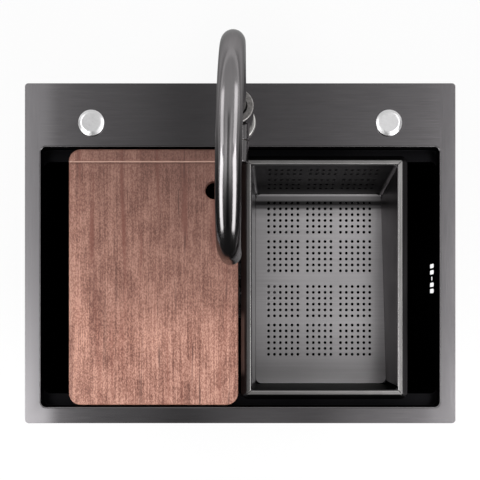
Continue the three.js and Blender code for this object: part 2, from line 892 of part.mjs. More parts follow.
function overflowHousing() {
  const earSpan = housingWidth + 2 * housingEar;
  const flangeEnd = flangeStart + housingWall;
  const boxEnd = flangeStart + housingDepth;
  const form = (grow, near, far) => {
    const radius = housingCornerRadius - housingWall + grow;
    return facingWall(housingWidth + 2 * grow, housingHeight + 2 * grow, radius, near, far);
  };
  const flange = facingWall(earSpan, housingEarHeight, housingEarRadius, flangeStart, flangeEnd);
  const box = form(housingWall, flangeStart, boxEnd);
  const inside = form(0, -overcut, boxEnd - housingWall);
  const spigotRadius = pipeRadius - pipeWall - seatGap;
  const spigotEnd = -housingHeight / 2 - spigotLength;
  const outlet = bar(spigotRadius, spigotEnd, -housingHeight / 2, 8).translate(pipeLine, 0, 0);
  const outletBore = bar(spigotRadius - spigotWall, spigotEnd - overcut, 0, 8).translate(pipeLine, 0, 0);
  const studHoles = [-1, 1].map((side) =>
    bar(studRadius + seatGap, -overcut, flangeStart + overcut, 8)
      .rotateY(90 * degree)
      .translate(0, side * studSpread, 0),
  );
  return cut(cut(join(flange, box, outlet), inside), outletBore, ...studHoles);
}

// Down from the housing's spigot and across under the bowl to the strainer's.
function overflowPipe() {
  const x = wallOutside + pipeLine;
  const top = overflowLevel - housingHeight / 2 - housingWall - pipeTopGap;
  const end = strainerCupRadius + pipeEndGap;
  const route = new HookRoute({
    start: new THREE.Vector3(x, 0, top),
    heading: new THREE.Vector3(0, 0, -1),
    side: new THREE.Vector3(-1, 0, 0),
    before: top - portLevel - pipeBend,
    radius: pipeBend,
    turn: 90 * degree,
    after: x - pipeBend - end,
    bendSteps: 5,
  });
  return hollowTube(route, pipeRadius, pipeWall, 8, 8);
}

addPiece(overflow, "overflow_gasket", "rubber", overflowGasket());
addPiece(overflow, "overflow_housing", "whitePlastic", overflowHousing());
["front", "back"].forEach((endName, i) => {
  const start = flangeStart + housingWall + seatGap;
  const nut = hexNut(studNutRadius, studRadius + seatGap, start, start + studNutHeight);
  nut.rotateY(90 * degree);
  addPiece(overflow, `overflow_nut_${endName}`, "plainSteel", nut, 0, (2 * i - 1) * studSpread, 0);
});
addPiece(sink, "overflow_pipe", "whitePlastic", overflowPipe(), 0, bowlCentre, 0);

// ---- tap ----

const tap = new THREE.Group();
tap.position.set(-tapAside, fittingsLine, deckTop);
tap.rotation.z = -tapTurn * degree;
sink.add(tap);

const flangeLow = tapGasketHeight + 2 * seatGap;
const bodyLow = flangeLow + tapFlangeHeight + seatGap;
const socketRadius = spoutRadius + runningGap + bushWall + seatGap;
const socketFloor = tapBodyTop - socketDepth;

function tapFlange() {
  const top = flangeLow + tapFlangeHeight;
  return turned(
    [
      [shankRadius + seatGap, flangeLow],
      [tapFlangeRadius, flangeLow],
      [tapFlangeRadius, top - tapFlangeBevel],
      [tapFlangeRadius - tapFlangeBevel, top],
      [shankRadius + seatGap, top],
    ],
    20,
  );
}

function tapBody() {
  const column = bar(tapBodyRadius, bodyLow, tapBodyTop, 20);
  const housing = alongValve(bar(valveRadius, 0, valveReach, 20)).translate(0, 0, valveHeight);
  const socket = bar(socketRadius, socketFloor, tapBodyTop + overcut, 16);
  const valveBore = alongValve(bar(valveBoreRadius, valveBoreStart, valveReach + overcut, 16));
  return cut(join(column, housing), socket, valveBore.translate(0, 0, valveHeight));
}

const shankTop = bodyLow - seatGap;
const underDeck = -deckThickness - seatGap;
const sealLow = underDeck - sealHeight;
const washerLow = sealLow - seatGap - washerHeight;
const tapNutTop = washerLow - seatGap;

const roundShank = shankRadius + seatGap;

// A ring round the shank, from its top down
function shankRing(radius, top, height) {
  return ring(roundShank, radius, top - height, top);
}

const tapGasketRadius = tapFlangeRadius - tapGasketInset;
addPiece(tap, "tap_gasket", "rubber", shankRing(tapGasketRadius, seatGap + tapGasketHeight, tapGasketHeight));
addPiece(tap, "tap_flange", "tapSteel", tapFlange());
addPiece(tap, "tap_body", "tapSteel", tapBody());
addPiece(tap, "tap_shank", "brass", ring(shankBoreRadius, shankRadius, -shankLength, shankTop));
addPiece(tap, "tap_seal", "rubber", shankRing(sealRadius, underDeck, sealHeight));
addPiece(tap, "tap_washer", "plainSteel", shankRing(washerRadius, washerLow + washerHeight, washerHeight));
addPiece(tap, "tap_nut", "brass", hexNut(tapNutRadius, roundShank, tapNutTop - tapNutHeight, tapNutTop));
[
  ["hot", -inletSpread],
  ["cold", inletSpread],
].forEach(([name, x]) => {
  const tail = ring(inletBoreRadius, inletRadius, -inletDrop, shankTop, 10);
  addPiece(tap, `inlet_tail_${name}`, "plainSteel", tail, x, 0, 0);
});

// ---- spout ----

const spoutStart = socketFloor + 2 * seatGap + spoutStandoff;

// Up from the socket, half a turn over, and down to the outlet.
function spoutTube() {
  const route = new HookRoute({
    start: new THREE.Vector3(0, 0, spoutStart),
    heading: new THREE.Vector3(0, 0, 1),
    side: new THREE.Vector3(0, -1, 0),
    before: springHeight - spoutStart,
    radius: archRadius,
    turn: 180 * degree,
    after: springHeight - outletHeight,
    bendSteps: 14,
  });
  return hollowTube(route, spoutRadius, spoutWall, 12, 8);
}

function spoutCollar() {
  const low = tapBodyTop + seatGap;
  const top = low + collarHeight;
  return turned(
    [
      [spoutRadius + seatGap, low],
      [tapBodyRadius, low],
      [tapBodyRadius, top - collarBevel],
      [tapBodyRadius - collarBevel, top],
      [spoutRadius + seatGap, top],
    ],
    20,
  );
}

function spoutBush() {
  const low = socketFloor + seatGap;
  return ring(spoutRadius + runningGap, socketRadius - seatGap, low, tapBodyTop - 2 * seatGap, 16);
}

// The housing carries on the tube's line, and the insert stands a little proud of its end.
function aeratorHousing() {
  const top = outletHeight - seatGap;
  const low = top - aeratorHousingHeight;
  return turned([
    [aeratorRadius + seatGap, low],
    [spoutRadius - aeratorBevel, low],
    [spoutRadius, low + aeratorBevel],
    [spoutRadius, top],
    [spoutRadius - spoutWall, top],
    [aeratorRadius + seatGap, top - spoutWall],
  ]);
}

function aeratorInsert() {
  const low = outletHeight - seatGap - aeratorHousingHeight - aeratorProud;
  const top = low + aeratorHeight;
  return turned(
    [
      [0, low + aeratorBevel],
      [aeratorMouthRadius, low + aeratorBevel],
      [aeratorMouthRadius, low],
      [aeratorRadius - aeratorBevel, low],
      [aeratorRadius, low + aeratorBevel],
      [aeratorRadius, top],
      [0, top],
    ],
    12,
  );
}

const outletLine = -2 * archRadius;
addPiece(tap, "spout_bush", "blackPlastic", spoutBush());
addPiece(tap, "spout_collar", "tapSteel", spoutCollar());
addPiece(tap, "spout", "tapSteel", spoutTube());
addPiece(tap, "aerator_housing", "tapSteel", aeratorHousing(), 0, outletLine, 0);
addPiece(tap, "aerator_insert", "blackPlastic", aeratorInsert(), 0, outletLine, 0);

// ---- valve and handle ----

const valve = new THREE.Group();
valve.position.z = valveHeight;
tap.add(valve);

const cartridgeStart = valveBoreStart + seatGap;
const cartridgeEnd = cartridgeStart + cartridgeLength;
const carrierStart = cartridgeEnd + seatGap;
const handleStart = valveReach + handleGap;

function cartridgeBody() {
  return alongValve(bar(cartridgeRadius, cartridgeStart, cartridgeEnd, 16));
}

function cartridgeNut() {
  const start = cartridgeEnd + seatGap;
  const outerRadius = valveBoreRadius - seatGap;
  return alongValve(ring(carrierRadius + runningGap, outerRadius, start, start + cartridgeNutHeight));
}

// The disc that turns in the cartridge, slotted from top to bottom so that the stem can rock in it.
function cartridgeCarrier() {
  const end = carrierStart + carrierHeight;
  const disc = bar(carrierRadius, carrierStart, end, 12);
  const slotLength = 2 * (carrierRadius - carrierSlotEnd);
  const slot = block(carrierSlotWidth, slotLength, carrierStart + carrierFloor, end + overcut);
  return alongValve(cut(disc, slot));
}

const stemStart = tiltPivot - stemHeight / 2;

function valveStem() {
  const flat = block(stemWidth, stemHeight, tiltPivot, stemStart + stemLength);
  const heel = bar(stemHeight / 2, -stemWidth / 2, stemWidth / 2, 16)
    .rotateY(90 * degree)
    .translate(0, 0, tiltPivot);
  return alongValve(join(flat, heel));
}

// The cap's lower half is cut back from the joint so that it can tip towards the user.
function handleCap() {
  const skin = turned(
    [
      [0, handleStart],
      [valveRadius, handleStart],
      [valveRadius, handleReach - handleBevel],
      [valveRadius - handleBevel, handleReach],
      [0, handleReach],
    ],
    20,
  );
  const wedgeLength = 2 * valveRadius;
  const wedge = new THREE.BoxGeometry(4 * valveRadius, wedgeLength, wedgeLength)
    .translate(0, -wedgeLength / 2, -wedgeLength / 2)
    .rotateX(-(tiltRange + tiltSpare) * degree)
    .translate(0, 0, handleStart);
  const socketWidth = stemWidth + 2 * seatGap;
  const socketHeight = stemHeight + 2 * seatGap;
  const socketStart = handleStart - overcut;
  const stemSocket = block(socketWidth, socketHeight, socketStart, stemStart + stemLength + seatGap);
  const socketMouth = block(socketWidth, 2 * carrierRadius, socketStart, handleStart + stemMouthDepth);
  const leverSocket = bar(leverRadius + seatGap, 0, overcut + valveRadius, 16)
    .rotateX(-90 * degree)
    .translate(0, leverSeat, leverReach);
  const grubHole = bar(grubRadius + seatGap, stemHeight / 2, valveRadius + overcut, 12)
    .rotateX(90 * degree)
    .translate(0, 0, grubLine);
  return alongValve(cut(skin, wedge, stemSocket, socketMouth, leverSocket, grubHole));
}

const leverSeat = stemHeight / 2 + seatGap + stemRoof;
const grubLine = stemStart + stemLength - grubFromStemEnd;

function leverPin() {
  const top = valveRadius + leverLength;
  return turned(
    [
      [0, leverSeat + seatGap],
      [leverRadius, leverSeat + seatGap],
      [leverRadius, valveRadius + leverStraight],
      [leverTipRadius, top - leverTipHeight],
      [leverTipRadius - leverTipBevel, top],
      [0, top],
    ],
    12,
  );
}

function grubScrew() {
  const start = stemHeight / 2 + seatGap;
  const end = start + grubLength;
  const key = bar(grubKeyRadius, end - grubKeyDepth, end + overcut, 6);
  return cut(bar(grubRadius, start, end, 12), key).rotateX(180 * degree);
}

addPiece(valve, "valve_cartridge", "blackPlastic", cartridgeBody());
addPiece(valve, "cartridge_nut", "brass", cartridgeNut());
addPiece(valve, "cartridge_carrier", "whitePlastic", cartridgeCarrier());
addPiece(valve, "valve_stem", "plainSteel", valveStem());
addPiece(valve, "handle_cap", "tapSteel", handleCap());
addPiece(valve, "handle_lever", "tapSteel", leverPin(), 0, -leverReach, 0);
addPiece(valve, "grub_screw", "plainSteel", grubScrew(), 0, -grubLine, 0);

// ---- cutting board ----

const boardLength = openingLength - 2 * boardEndGap;
const boardLeft = -openingWidth / 2 + boardLeftGap;
const footWidth = rimWidth + 2 * rimFootSide;
const boardWidth = openingWidth - boardLeftGap - basketLeftGap - footWidth - basketRightGap;

function cuttingBoard() {
  const level = (z, inset) => ({
    z,
    outline: roundedOutline(boardWidth - 2 * inset, boardLength - 2 * inset, boardCornerRadius - inset, 4),
  });
  const roundSteps = [0, 30, 60, 90].map((angle) =>
    level(
      -boardTopRound * (1 - Math.sin(angle * degree)),
      boardTopRound * (1 - Math.cos(angle * degree)),
    ),
  );
  const underSteps = [level(-boardThickness, boardUnderBevel), level(boardUnderBevel - boardThickness, 0)];
  const slab = stacked([...underSteps, ...roundSteps]);
  const fingerHole = bar(fingerHoleRadius, -boardThickness - overcut, overcut, 20).translate(
    boardWidth / 2 - fingerHoleFromRight,
    boardLength / 2 - fingerHoleFromBack,
    0,
  );
  const groove = bar(grooveRadius, -boardWidth / 2 + grooveInset, boardWidth / 2 - grooveInset, 12)
    .rotateY(90 * degree)
    .translate(0, boardLength / 2 - grooveFromBack, grooveRadius - grooveDepth);
  return cut(slab, fingerHole, groove);
}

addPiece(sink, "cutting_board", "walnut", cuttingBoard(), boardLeft + boardWidth / 2, bowlCentre, deckTop);

// ---- draining basket ----

const rimTop = rimHeight; // above the rim's foot
const footLength = openingLength - 2 * basketEndGap;
const rimLength = footLength - 2 * rimFootEnd;
const holeWidth = rimWidth - 2 * rimBar;
const holeLength = rimLength - 2 * rimBar;
const basket = new THREE.Group();
basket.position.set(openingWidth / 2 - basketRightGap - footWidth / 2, bowlCentre, ledgeTop + seatGap);
sink.add(basket);

// A folded rim: a flat bar on top, a slope down to the foot, and hollow below.
function basketRim() {
  const level = (z, width, length, radius, inset) => ({
    z,
    outline: roundedOutline(width - 2 * inset, length - 2 * inset, radius - inset / 2),
  });
  const form = (inset, drop, low) => [
    level(low, footWidth, footLength, rimFootRadius, inset),
    level(rimFootHeight - drop, footWidth, footLength, rimFootRadius, inset),
    level(rimTop - rimFootHeight - drop, rimWidth, rimLength, rimTopRadius, inset),
    level(rimTop - drop, rimWidth, rimLength, rimTopRadius, inset),
  ];
  const core = prism(
    roundedOutline(holeWidth + 2 * rimFold, holeLength + 2 * rimFold, tubCornerRadius + rimFold),
    -overcut,
    rimTop + overcut,
  );
  const hollow = cut(stacked(form(rimFold, rimFold, -overcut)), core);
  const hole = prism(roundedOutline(holeWidth, holeLength, tubCornerRadius), -overcut, rimTop + overcut);
  return cut(stacked(form(0, 0, 0)), hollow, hole);
}

// The tub's outline at a share of its depth, drawn in by inset. The back wall leans most, and the floor
// narrows to the back.
function tubOutline(depthShare, inset) {
  const width = holeWidth - 2 * (seatGap + inset);
  const length = holeLength - 2 * (seatGap + inset);
  const radius = Math.max(tubCornerRadius - seatGap - inset, tubWall);
  return roundedOutline(width, length, radius).map((point) => {
    const across = point.x / width + 0.5;
    const along = point.y / length + 0.5;
    const left = -width / 2 + tubLeanLeft * depthShare;
    const right = width / 2 - lerp(tubLeanRightFront, tubLeanRightBack, along) * depthShare;
    const front = -length / 2 + tubLeanFront * depthShare;
    const back = length / 2 - tubLeanBack * depthShare;
    return new THREE.Vector2(lerp(left, right, across), lerp(front, back, along));
  });
}

const tubTop = rimTop;
const tubBottom = tubTop - tubDepth - basketFloorThickness - seatGap - tubWall;

function tubLevel(z, inset) {
  return { z, outline: tubOutline((tubTop - z) / (tubTop - tubBottom), inset) };
}

function basketTub() {
  const shell = stacked([tubLevel(tubBottom, 0), tubLevel(tubTop, 0)]);
  const space = stacked([tubLevel(tubBottom + tubWall, tubWall), tubLevel(tubTop + overcut, tubWall)]);
  const floorWindow = stacked([
    tubLevel(tubBottom - overcut, tubWall + tubLip),
    tubLevel(tubBottom + overcut, tubWall + tubLip),
  ]);
  return cut(shell, space, floorWindow);
}

// Positions of the drain holes along one direction, in blocks with wider gaps between them.
function spaced(blocks, gap, middleGap) {
  const places = [];
  let at = 0;
  blocks.forEach((count, i) => {
    for (let k = 0; k < count; k++) {
      places.push(at);
      at += drainHolePitch;
    }
    at += gap;
    if (i + 1 === blocks.length / 2) at += middleGap;
  });
  return places;
}

const floorLevel = tubBottom + tubWall + seatGap;
const floorOutline = tubOutline((tubTop - floorLevel) / (tubTop - tubBottom), tubWall + seatGap);
const floorLeft = Math.min(...floorOutline.map((point) => point.x));
const floorFront = Math.min(...floorOutline.map((point) => point.y));
const floorBack = Math.max(...floorOutline.map((point) => point.y));
const floorRightAtBack = Math.max(
  ...floorOutline.filter((point) => point.y > floorBack - 2 * tubCornerRadius).map((point) => point.x),
);

function drainColumns() {
  return spaced(drainColumnBlocks, drainColumnGap, 0)
    .map((at) => floorLeft + drainGridLeft + at)
    .filter((x) => x < floorRightAtBack - drainEdge);
}

function drainRows() {
  return spaced(drainRowBlocks, drainRowGap, drainMiddleGap)
    .map((at) => floorFront + drainGridFront + at)
    .filter((y) => y < floorBack - drainEdge);
}

function basketFloor() {
  const segment = 360 / drainHoleSides;
  const cornerRadius = drainHoleRadius * Math.sqrt((segment * degree) / Math.sin(segment * degree));
  const hole = circleOutline(cornerRadius, drainHoleSides).reverse();
  const plate = new THREE.Shape(floorOutline);
  drainColumns().forEach((x) => {
    drainRows().forEach((y) => {
      plate.holes.push(new THREE.Path(hole.map((corner) => new THREE.Vector2(x + corner.x, y + corner.y))));
    });
  });
  const sheet = new THREE.ExtrudeGeometry(plate, { depth: basketFloorThickness, bevelEnabled: false });
  return sheet.translate(0, 0, floorLevel);
}

addPiece(basket, "basket_rim", "basketSteel", basketRim());
addPiece(basket, "basket_tub", "basketSteel", basketTub());
addPiece(basket, "basket_floor", "basketSteel", basketFloor());

export default sink;
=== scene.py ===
# The looks of a workstation kitchen sink: steel deck and bowl, tap, board, draining basket, waste, overflow.
# Sizes and places are in millimetres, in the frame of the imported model. Every mesh is made in place, so its
# own coordinates are the frame's, and the finishes are laid out by them. Noise is in cells to the metre.
import json
import math

import bmesh
import bpy
from mathutils import Matrix, Vector


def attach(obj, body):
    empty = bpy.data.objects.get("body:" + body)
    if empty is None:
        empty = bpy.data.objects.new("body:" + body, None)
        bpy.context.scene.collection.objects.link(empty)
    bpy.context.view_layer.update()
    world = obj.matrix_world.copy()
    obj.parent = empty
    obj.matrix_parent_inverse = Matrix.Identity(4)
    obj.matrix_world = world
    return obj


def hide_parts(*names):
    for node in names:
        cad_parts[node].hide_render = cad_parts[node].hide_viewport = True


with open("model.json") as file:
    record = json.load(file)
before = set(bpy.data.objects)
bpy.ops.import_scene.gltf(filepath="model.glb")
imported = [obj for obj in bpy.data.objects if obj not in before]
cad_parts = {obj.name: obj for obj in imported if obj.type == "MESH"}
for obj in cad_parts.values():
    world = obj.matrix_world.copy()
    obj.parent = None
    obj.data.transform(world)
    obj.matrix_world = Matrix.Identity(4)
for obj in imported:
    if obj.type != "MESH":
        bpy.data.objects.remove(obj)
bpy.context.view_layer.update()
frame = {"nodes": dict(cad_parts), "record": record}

mm = 0.001
degree = math.pi / 180
beyond = 5  # a cutting tool reaches this far past what it cuts


# Making meshes

def addMesh(name, points, faces):
    mesh = bpy.data.meshes.new(name)
    mesh.from_pydata([[value * mm for value in point] for point in points], [], faces)
    return link(name, mesh)


def link(name, data):
    piece = bpy.data.objects.new(name, data)
    bpy.context.scene.collection.objects.link(piece)
    return piece


# The mesh of an object, with its modifiers applied
def evaluated(thing):
    graph = bpy.context.evaluated_depsgraph_get()
    return bpy.data.meshes.new_from_object(thing.evaluated_get(graph), depsgraph=graph)


# Welds the mesh, turns its faces outwards and shades it smooth between edges sharper than the crease
def tidyUp(piece, crease=32):
    work = bmesh.new()
    work.from_mesh(piece.data)
    bmesh.ops.remove_doubles(work, verts=work.verts, dist=2e-6)
    bmesh.ops.recalc_face_normals(work, faces=work.faces)
    work.to_mesh(piece.data)
    work.free()
    piece.data.shade_smooth()
    piece.data.set_sharp_from_angle(angle=crease * degree)
    return piece


# A surface through rings of equal point counts; loop joins the last ring to the first
def skin(name, rings, loop=False, ends=True):
    count = len(rings[0])
    faces = []
    for k in range(len(rings) if loop else len(rings) - 1):
        low, high = k * count, (k + 1) % len(rings) * count
        faces += [(low + i, low + (i + 1) % count, high + (i + 1) % count, high + i) for i in range(count)]
    if ends and not loop:
        faces.append(tuple(reversed(range(count))))
        faces.append(tuple(range((len(rings) - 1) * count, len(rings) * count)))
    return tidyUp(addMesh(name, [point for ring in rings for point in ring], faces))


def roundedLoop(width, length, radius, steps=8, centre=(0, 0)):
    points = []
    for quarter, (sideX, sideY) in enumerate(((1, 1), (-1, 1), (-1, -1), (1, -1))):
        for step in range(steps + 1):
            angle = (quarter + step / steps) * 90 * degree
            points.append((
                centre[0] + sideX * (width / 2 - radius) + radius * math.cos(angle),
                centre[1] + sideY * (length / 2 - radius) + radius * math.sin(angle),
            ))
    return points


def circle(radius, sides=48, centre=(0, 0)):
    angles = [2 * math.pi * i / sides for i in range(sides)]
    return [(centre[0] + radius * math.cos(a), centre[1] + radius * math.sin(a)) for a in angles]


def raised(loop, z):
    return [(x, y, z) for x, y in loop]


# A rounded edge of radius 1 from its side to its top: how far it has gone inwards, and what is left to rise
def rounding(steps):
    angles = [90 * degree * k / steps for k in range(steps + 1)]
    return [(1 - math.cos(angle), 1 - math.sin(angle)) for angle in angles]


# A profile whose points may carry a third number, the radius that their corner is eased by
def eased(profile, steps=4):
    made = []
    for i, point in enumerate(profile):
        if len(point) < 3:
            made.append(tuple(point))
            continue
        corner, radius = Vector(point[:2]), point[2]
        back = (Vector(profile[i - 1][:2]) - corner).normalized()
        ahead = (Vector(profile[(i + 1) % len(profile)][:2]) - corner).normalized()
        half = back.angle(ahead) / 2
        middle = corner + (back + ahead).normalized() * radius / math.sin(half)
        start = corner + back * radius / math.tan(half) - middle
        end = corner + ahead * radius / math.tan(half) - middle
        made += arc(middle, radius, start, end, steps)
    return made


# Points on the shorter arc about the centre, between two directions
def arc(centre, radius, start, end, steps):
    first = math.atan2(start[1], start[0])
    sweep = (math.atan2(end[1], end[0]) - first + math.pi) % (2 * math.pi) - math.pi
    angles = [first + sweep * k / steps for k in range(steps + 1)]
    return [(centre[0] + radius * math.cos(a), centre[1] + radius * math.sin(a)) for a in angles]


# Points on the shorter arc about the centre, between two points
def bend(start, end, centre, steps):
    ends = [(point[0] - centre[0], point[1] - centre[1]) for point in (start, end)]
    return arc(centre, math.dist(start, centre), *ends, steps)


# A profile of (radius, z) turned about Z: hollow joins its last point to its first
def turned(name, profile, sides=48, hollow=False, steps=4):
    rings = [raised(circle(radius, sides), z) for radius, z in eased(profile, steps)]
    return skin(name, rings, loop=hollow, ends=False)


# A rod about Z, with the edges of its ends eased if asked
def rod(name, radius, low, high, sides, lowEase=None, highEase=None, steps=4):
    edges = [(radius, low, lowEase) if lowEase else (radius, low)]
    edges.append((radius, high, highEase) if highEase else (radius, high))
    return turned(name, [(0, low), *edges, (0, high)], sides, steps=steps)


# A tube along a path of (ahead, up) points in the Y-Z plane
def planarTube(name, path, radius, wall, sides=32):
    outer, inner = [], []
    for i, point in enumerate(path):
        before, after = Vector(path[max(i - 1, 0)]), Vector(path[min(i + 1, len(path) - 1)])
        along = (after - before).normalized()
        for size, rings in ((radius, outer), (radius - wall, inner)):
            loop = circle(size, sides)
            rings.append([(x, point[0] - along.y * y, point[1] + along.x * y) for x, y in loop])
    return skin(name, outer + inner[::-1], loop=True)


# A flat sheet with holes, its edges eased
def plate(name, outline, holes, low, high, ease, steps=2):
    curve = bpy.data.curves.new(name, "CURVE")
    curve.dimensions, curve.fill_mode = "2D", "BOTH"
    for loop in [outline, *holes]:
        spline = curve.splines.new("POLY")
        spline.points.add(len(loop) - 1)
        for point, (x, y) in zip(spline.points, loop):
            point.co = (x * mm, y * mm, 0, 1)
        spline.use_cyclic_u = True
    curve.extrude = ((high - low) / 2 - ease) * mm
    curve.bevel_depth, curve.bevel_resolution, curve.offset = ease * mm, steps - 1, -ease * mm
    drawn = link(name + "Drawn", curve)
    mesh = evaluated(drawn)
    bpy.data.objects.remove(drawn)
    mesh.transform(shift(0, 0, (low + high) / 2))
    return tidyUp(link(name, mesh))


def prism(name, loop, low, high):
    return skin(name, [raised(loop, low), raised(loop, high)])


# A block with rounded upright corners and eased edges
def roundedBlock(name, low, high, corner=1.0, ease=0.3):
    middle = [(a + b) / 2 for a, b in zip(low, high)]
    wide, long = high[0] - low[0], high[1] - low[1]
    rings = []
    for z, back in ((low[2], ease), (low[2] + ease, 0), (high[2] - ease, 0), (high[2], ease)):
        rings.append(raised(roundedLoop(wide - 2 * back, long - 2 * back, corner - back / 2, 3, middle), z))
    return skin(name, rings)


def together(name, *pieces):
    work = bmesh.new()
    for piece in pieces:
        work.from_mesh(piece.data)
        bpy.data.objects.remove(piece)
    mesh = bpy.data.meshes.new(name)
    work.to_mesh(mesh)
    work.free()
    return tidyUp(link(name, mesh))


def carve(piece, *tools, way="DIFFERENCE", crease=32):
    for tool in tools:
        change = piece.modifiers.new("cut", "BOOLEAN")
        change.operation, change.solver, change.object = way, "EXACT", tool
        mesh = evaluated(piece)
        piece.modifiers.clear()
        piece.data = mesh
        bpy.data.objects.remove(tool)
    return tidyUp(piece, crease)


# Moves the points themselves, by each matrix in turn
def move(piece, *matrices):
    for matrix in matrices:
        piece.data.transform(matrix)
    return piece


def shift(x, y, z):
    return Matrix.Translation((x * mm, y * mm, z * mm))


def turn(angle, axis):
    return Matrix.Rotation(angle * degree, 4, axis)


# Puts a finished piece on its body, with its finish, in place of its nodes
def fit(piece, body, finish, slot, *nodes):
    piece.data.materials.clear()
    for material in finish if isinstance(finish, list) else [finish]:
        piece.data.materials.append(material)
    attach(piece, body)
    if nodes:
        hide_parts(*nodes)
    piece.modifiers.new("flat faces", "WEIGHTED_NORMAL").keep_sharp = True
    return piece


# Making finishes

# A socket that takes part in sums: an expression on wires adds its Math nodes
class Wire:
    def __init__(self, finish, socket):
        self.finish, self.socket = finish, socket

    def math(self, operation, *values):
        return self.finish.add("ShaderNodeMath", {"operation": operation}, dict(enumerate(values)))

    def __add__(self, other):
        return self.math("ADD", self, other)

    def __radd__(self, other):
        return self.math("ADD", other, self)

    def __sub__(self, other):
        return self.math("SUBTRACT", self, other)

    def __rsub__(self, other):
        return self.math("SUBTRACT", other, self)

    def __mul__(self, other):
        return self.math("MULTIPLY", self, other)

    def __rmul__(self, other):
        return self.math("MULTIPLY", other, self)

    def __truediv__(self, other):
        return self.math("DIVIDE", self, other)

    def __rtruediv__(self, other):
        return self.math("DIVIDE", other, self)

    def __pow__(self, other):
        return self.math("POWER", self, other)

    def __abs__(self):
        return self.math("ABSOLUTE", self)

    def most(self, other):
        return self.math("MAXIMUM", self, other)

    # 0 below low, 1 above high, and a smooth step between
    def rise(self, low, high):
        ends = {"Value": self, "From Min": low, "From Max": high, "To Min": 0.0, "To Max": 1.0}
        return self.finish.add("ShaderNodeMapRange", {"interpolation_type": "SMOOTHSTEP"}, ends)


class Finish:
    def __init__(self, name, holder=None):
        self.holder = holder or bpy.data.materials.new(name)
        self.holder.use_nodes = True
        self.tree = self.holder.node_tree
        self.tree.nodes.clear()

    # Any node: its type, its settings, then the values or wires of its sockets
    def add(self, kind, settings=None, inputs=None, output=0):
        node = self.tree.nodes.new(kind)
        for key, value in (settings or {}).items():
            if key != "stops":
                setattr(node, key, value)
                continue
            stops = node.color_ramp.elements
            while len(stops) < len(value):
                stops.new(0.5)
            for stop, (place, colour) in zip(stops, value):
                stop.position, stop.color = place, (*colour, 1.0)
        for key, value in (inputs or {}).items():
            if isinstance(value, Wire):
                self.tree.links.new(value.socket, node.inputs[key])
            else:
                node.inputs[key].default_value = value
        return Wire(self, node.outputs[output]) if node.outputs else None

    # A vector times a number or, part by part, times a vector
    def scaled(self, vector, factor):
        if isinstance(factor, tuple):
            return self.add("ShaderNodeVectorMath", {"operation": "MULTIPLY"}, {0: vector, 1: factor})
        return self.add("ShaderNodeVectorMath", {"operation": "SCALE"}, {0: vector, "Scale": factor})

    def place(self):
        return self.add("ShaderNodeTexCoord", output="Object")

    def parts(self, vector):
        return [self.add("ShaderNodeSeparateXYZ", {}, {0: vector}, axis) for axis in range(3)]

    # The place along X, Y and Z
    def axes(self):
        return self.parts(self.scaled(self.place(), 1 / mm))

    # Noise of as many cells to the metre along X, Y and Z
    def grain(self, stretch, detail=2.0, rough=0.5, bent=0.0):
        spot = self.scaled(self.place(), stretch)
        cells = {"Vector": spot, "Scale": 1.0, "Detail": detail, "Roughness": rough, "Distortion": bent}
        return self.add("ShaderNodeTexNoise", {}, cells)

    # Noise that is as fine along all three axes
    def speck(self, cells, detail=2.0, rough=0.5):
        return self.grain((cells, cells, cells), detail, rough)

    def blend(self, share, first, second):
        pair = {0: share}
        for socket, colour in ((6, first), (7, second)):
            pair[socket] = colour if isinstance(colour, Wire) else (*colour, 1.0)
        return self.add("ShaderNodeMix", {"data_type": "RGBA"}, pair, 2)

    def ramp(self, value, *stops):
        return self.add("ShaderNodeValToRGB", {"stops": stops}, {0: value})

    # A number drawn through stops of (place, level) between two places
    def curve(self, value, low, high, stops):
        most = max(level for _, level in stops)
        scaled = [((place - low) / (high - low), (level / most,) * 3) for place, level in stops]
        return most * self.ramp((value - low) / (high - low), *scaled)

    def bump(self, height, depth, strength=0.4):
        relief = {"Strength": strength, "Distance": depth * mm, "Height": height}
        return self.add("ShaderNodeBump", {}, relief)

    # Whether a ray comes from the camera, and whether metal or glass has turned it
    def rays(self):
        kinds = ("Is Camera Ray", "Is Glossy Ray", "Is Transmission Ray")
        seen, glossy, passed = [self.add("ShaderNodeLightPath", output=kind) for kind in kinds]
        return seen, glossy.most(passed)

    def done(self, **sockets):
        inputs = {key.replace("_", " "): value for key, value in sockets.items()}
        return self.close(self.add("ShaderNodeBsdfPrincipled", {}, inputs))

    # Bare metal. The edge is how much it brightens where it is seen at a slant.
    def metal(self, colour, rough, normal, edge=1.0):
        edges = (edge, edge, edge, 1.0)
        return self.done(Base_Color=colour, Metallic=1.0, Specular_Tint=edges, Roughness=rough, Normal=normal)

    def close(self, surface, kind="ShaderNodeOutputMaterial"):
        self.add(kind, {}, {"Surface": surface})
        return self.holder


# Finishes

deckTones = {
    "dark": (0.172, 0.164, 0.171), "light": (0.250, 0.239, 0.247), "bright": (0.62, 0.60, 0.62),
    "sideRim": (263.3, 265.8), "leftRim": (-262, -236), "rightRim": (236, 262), "front": (-10, 300),
    "leftLit": (0.20, 0.34), "rightLit": (0.02, 0.08),  # painted reflection of the side lights: brighter everywhere, and more towards the front
}
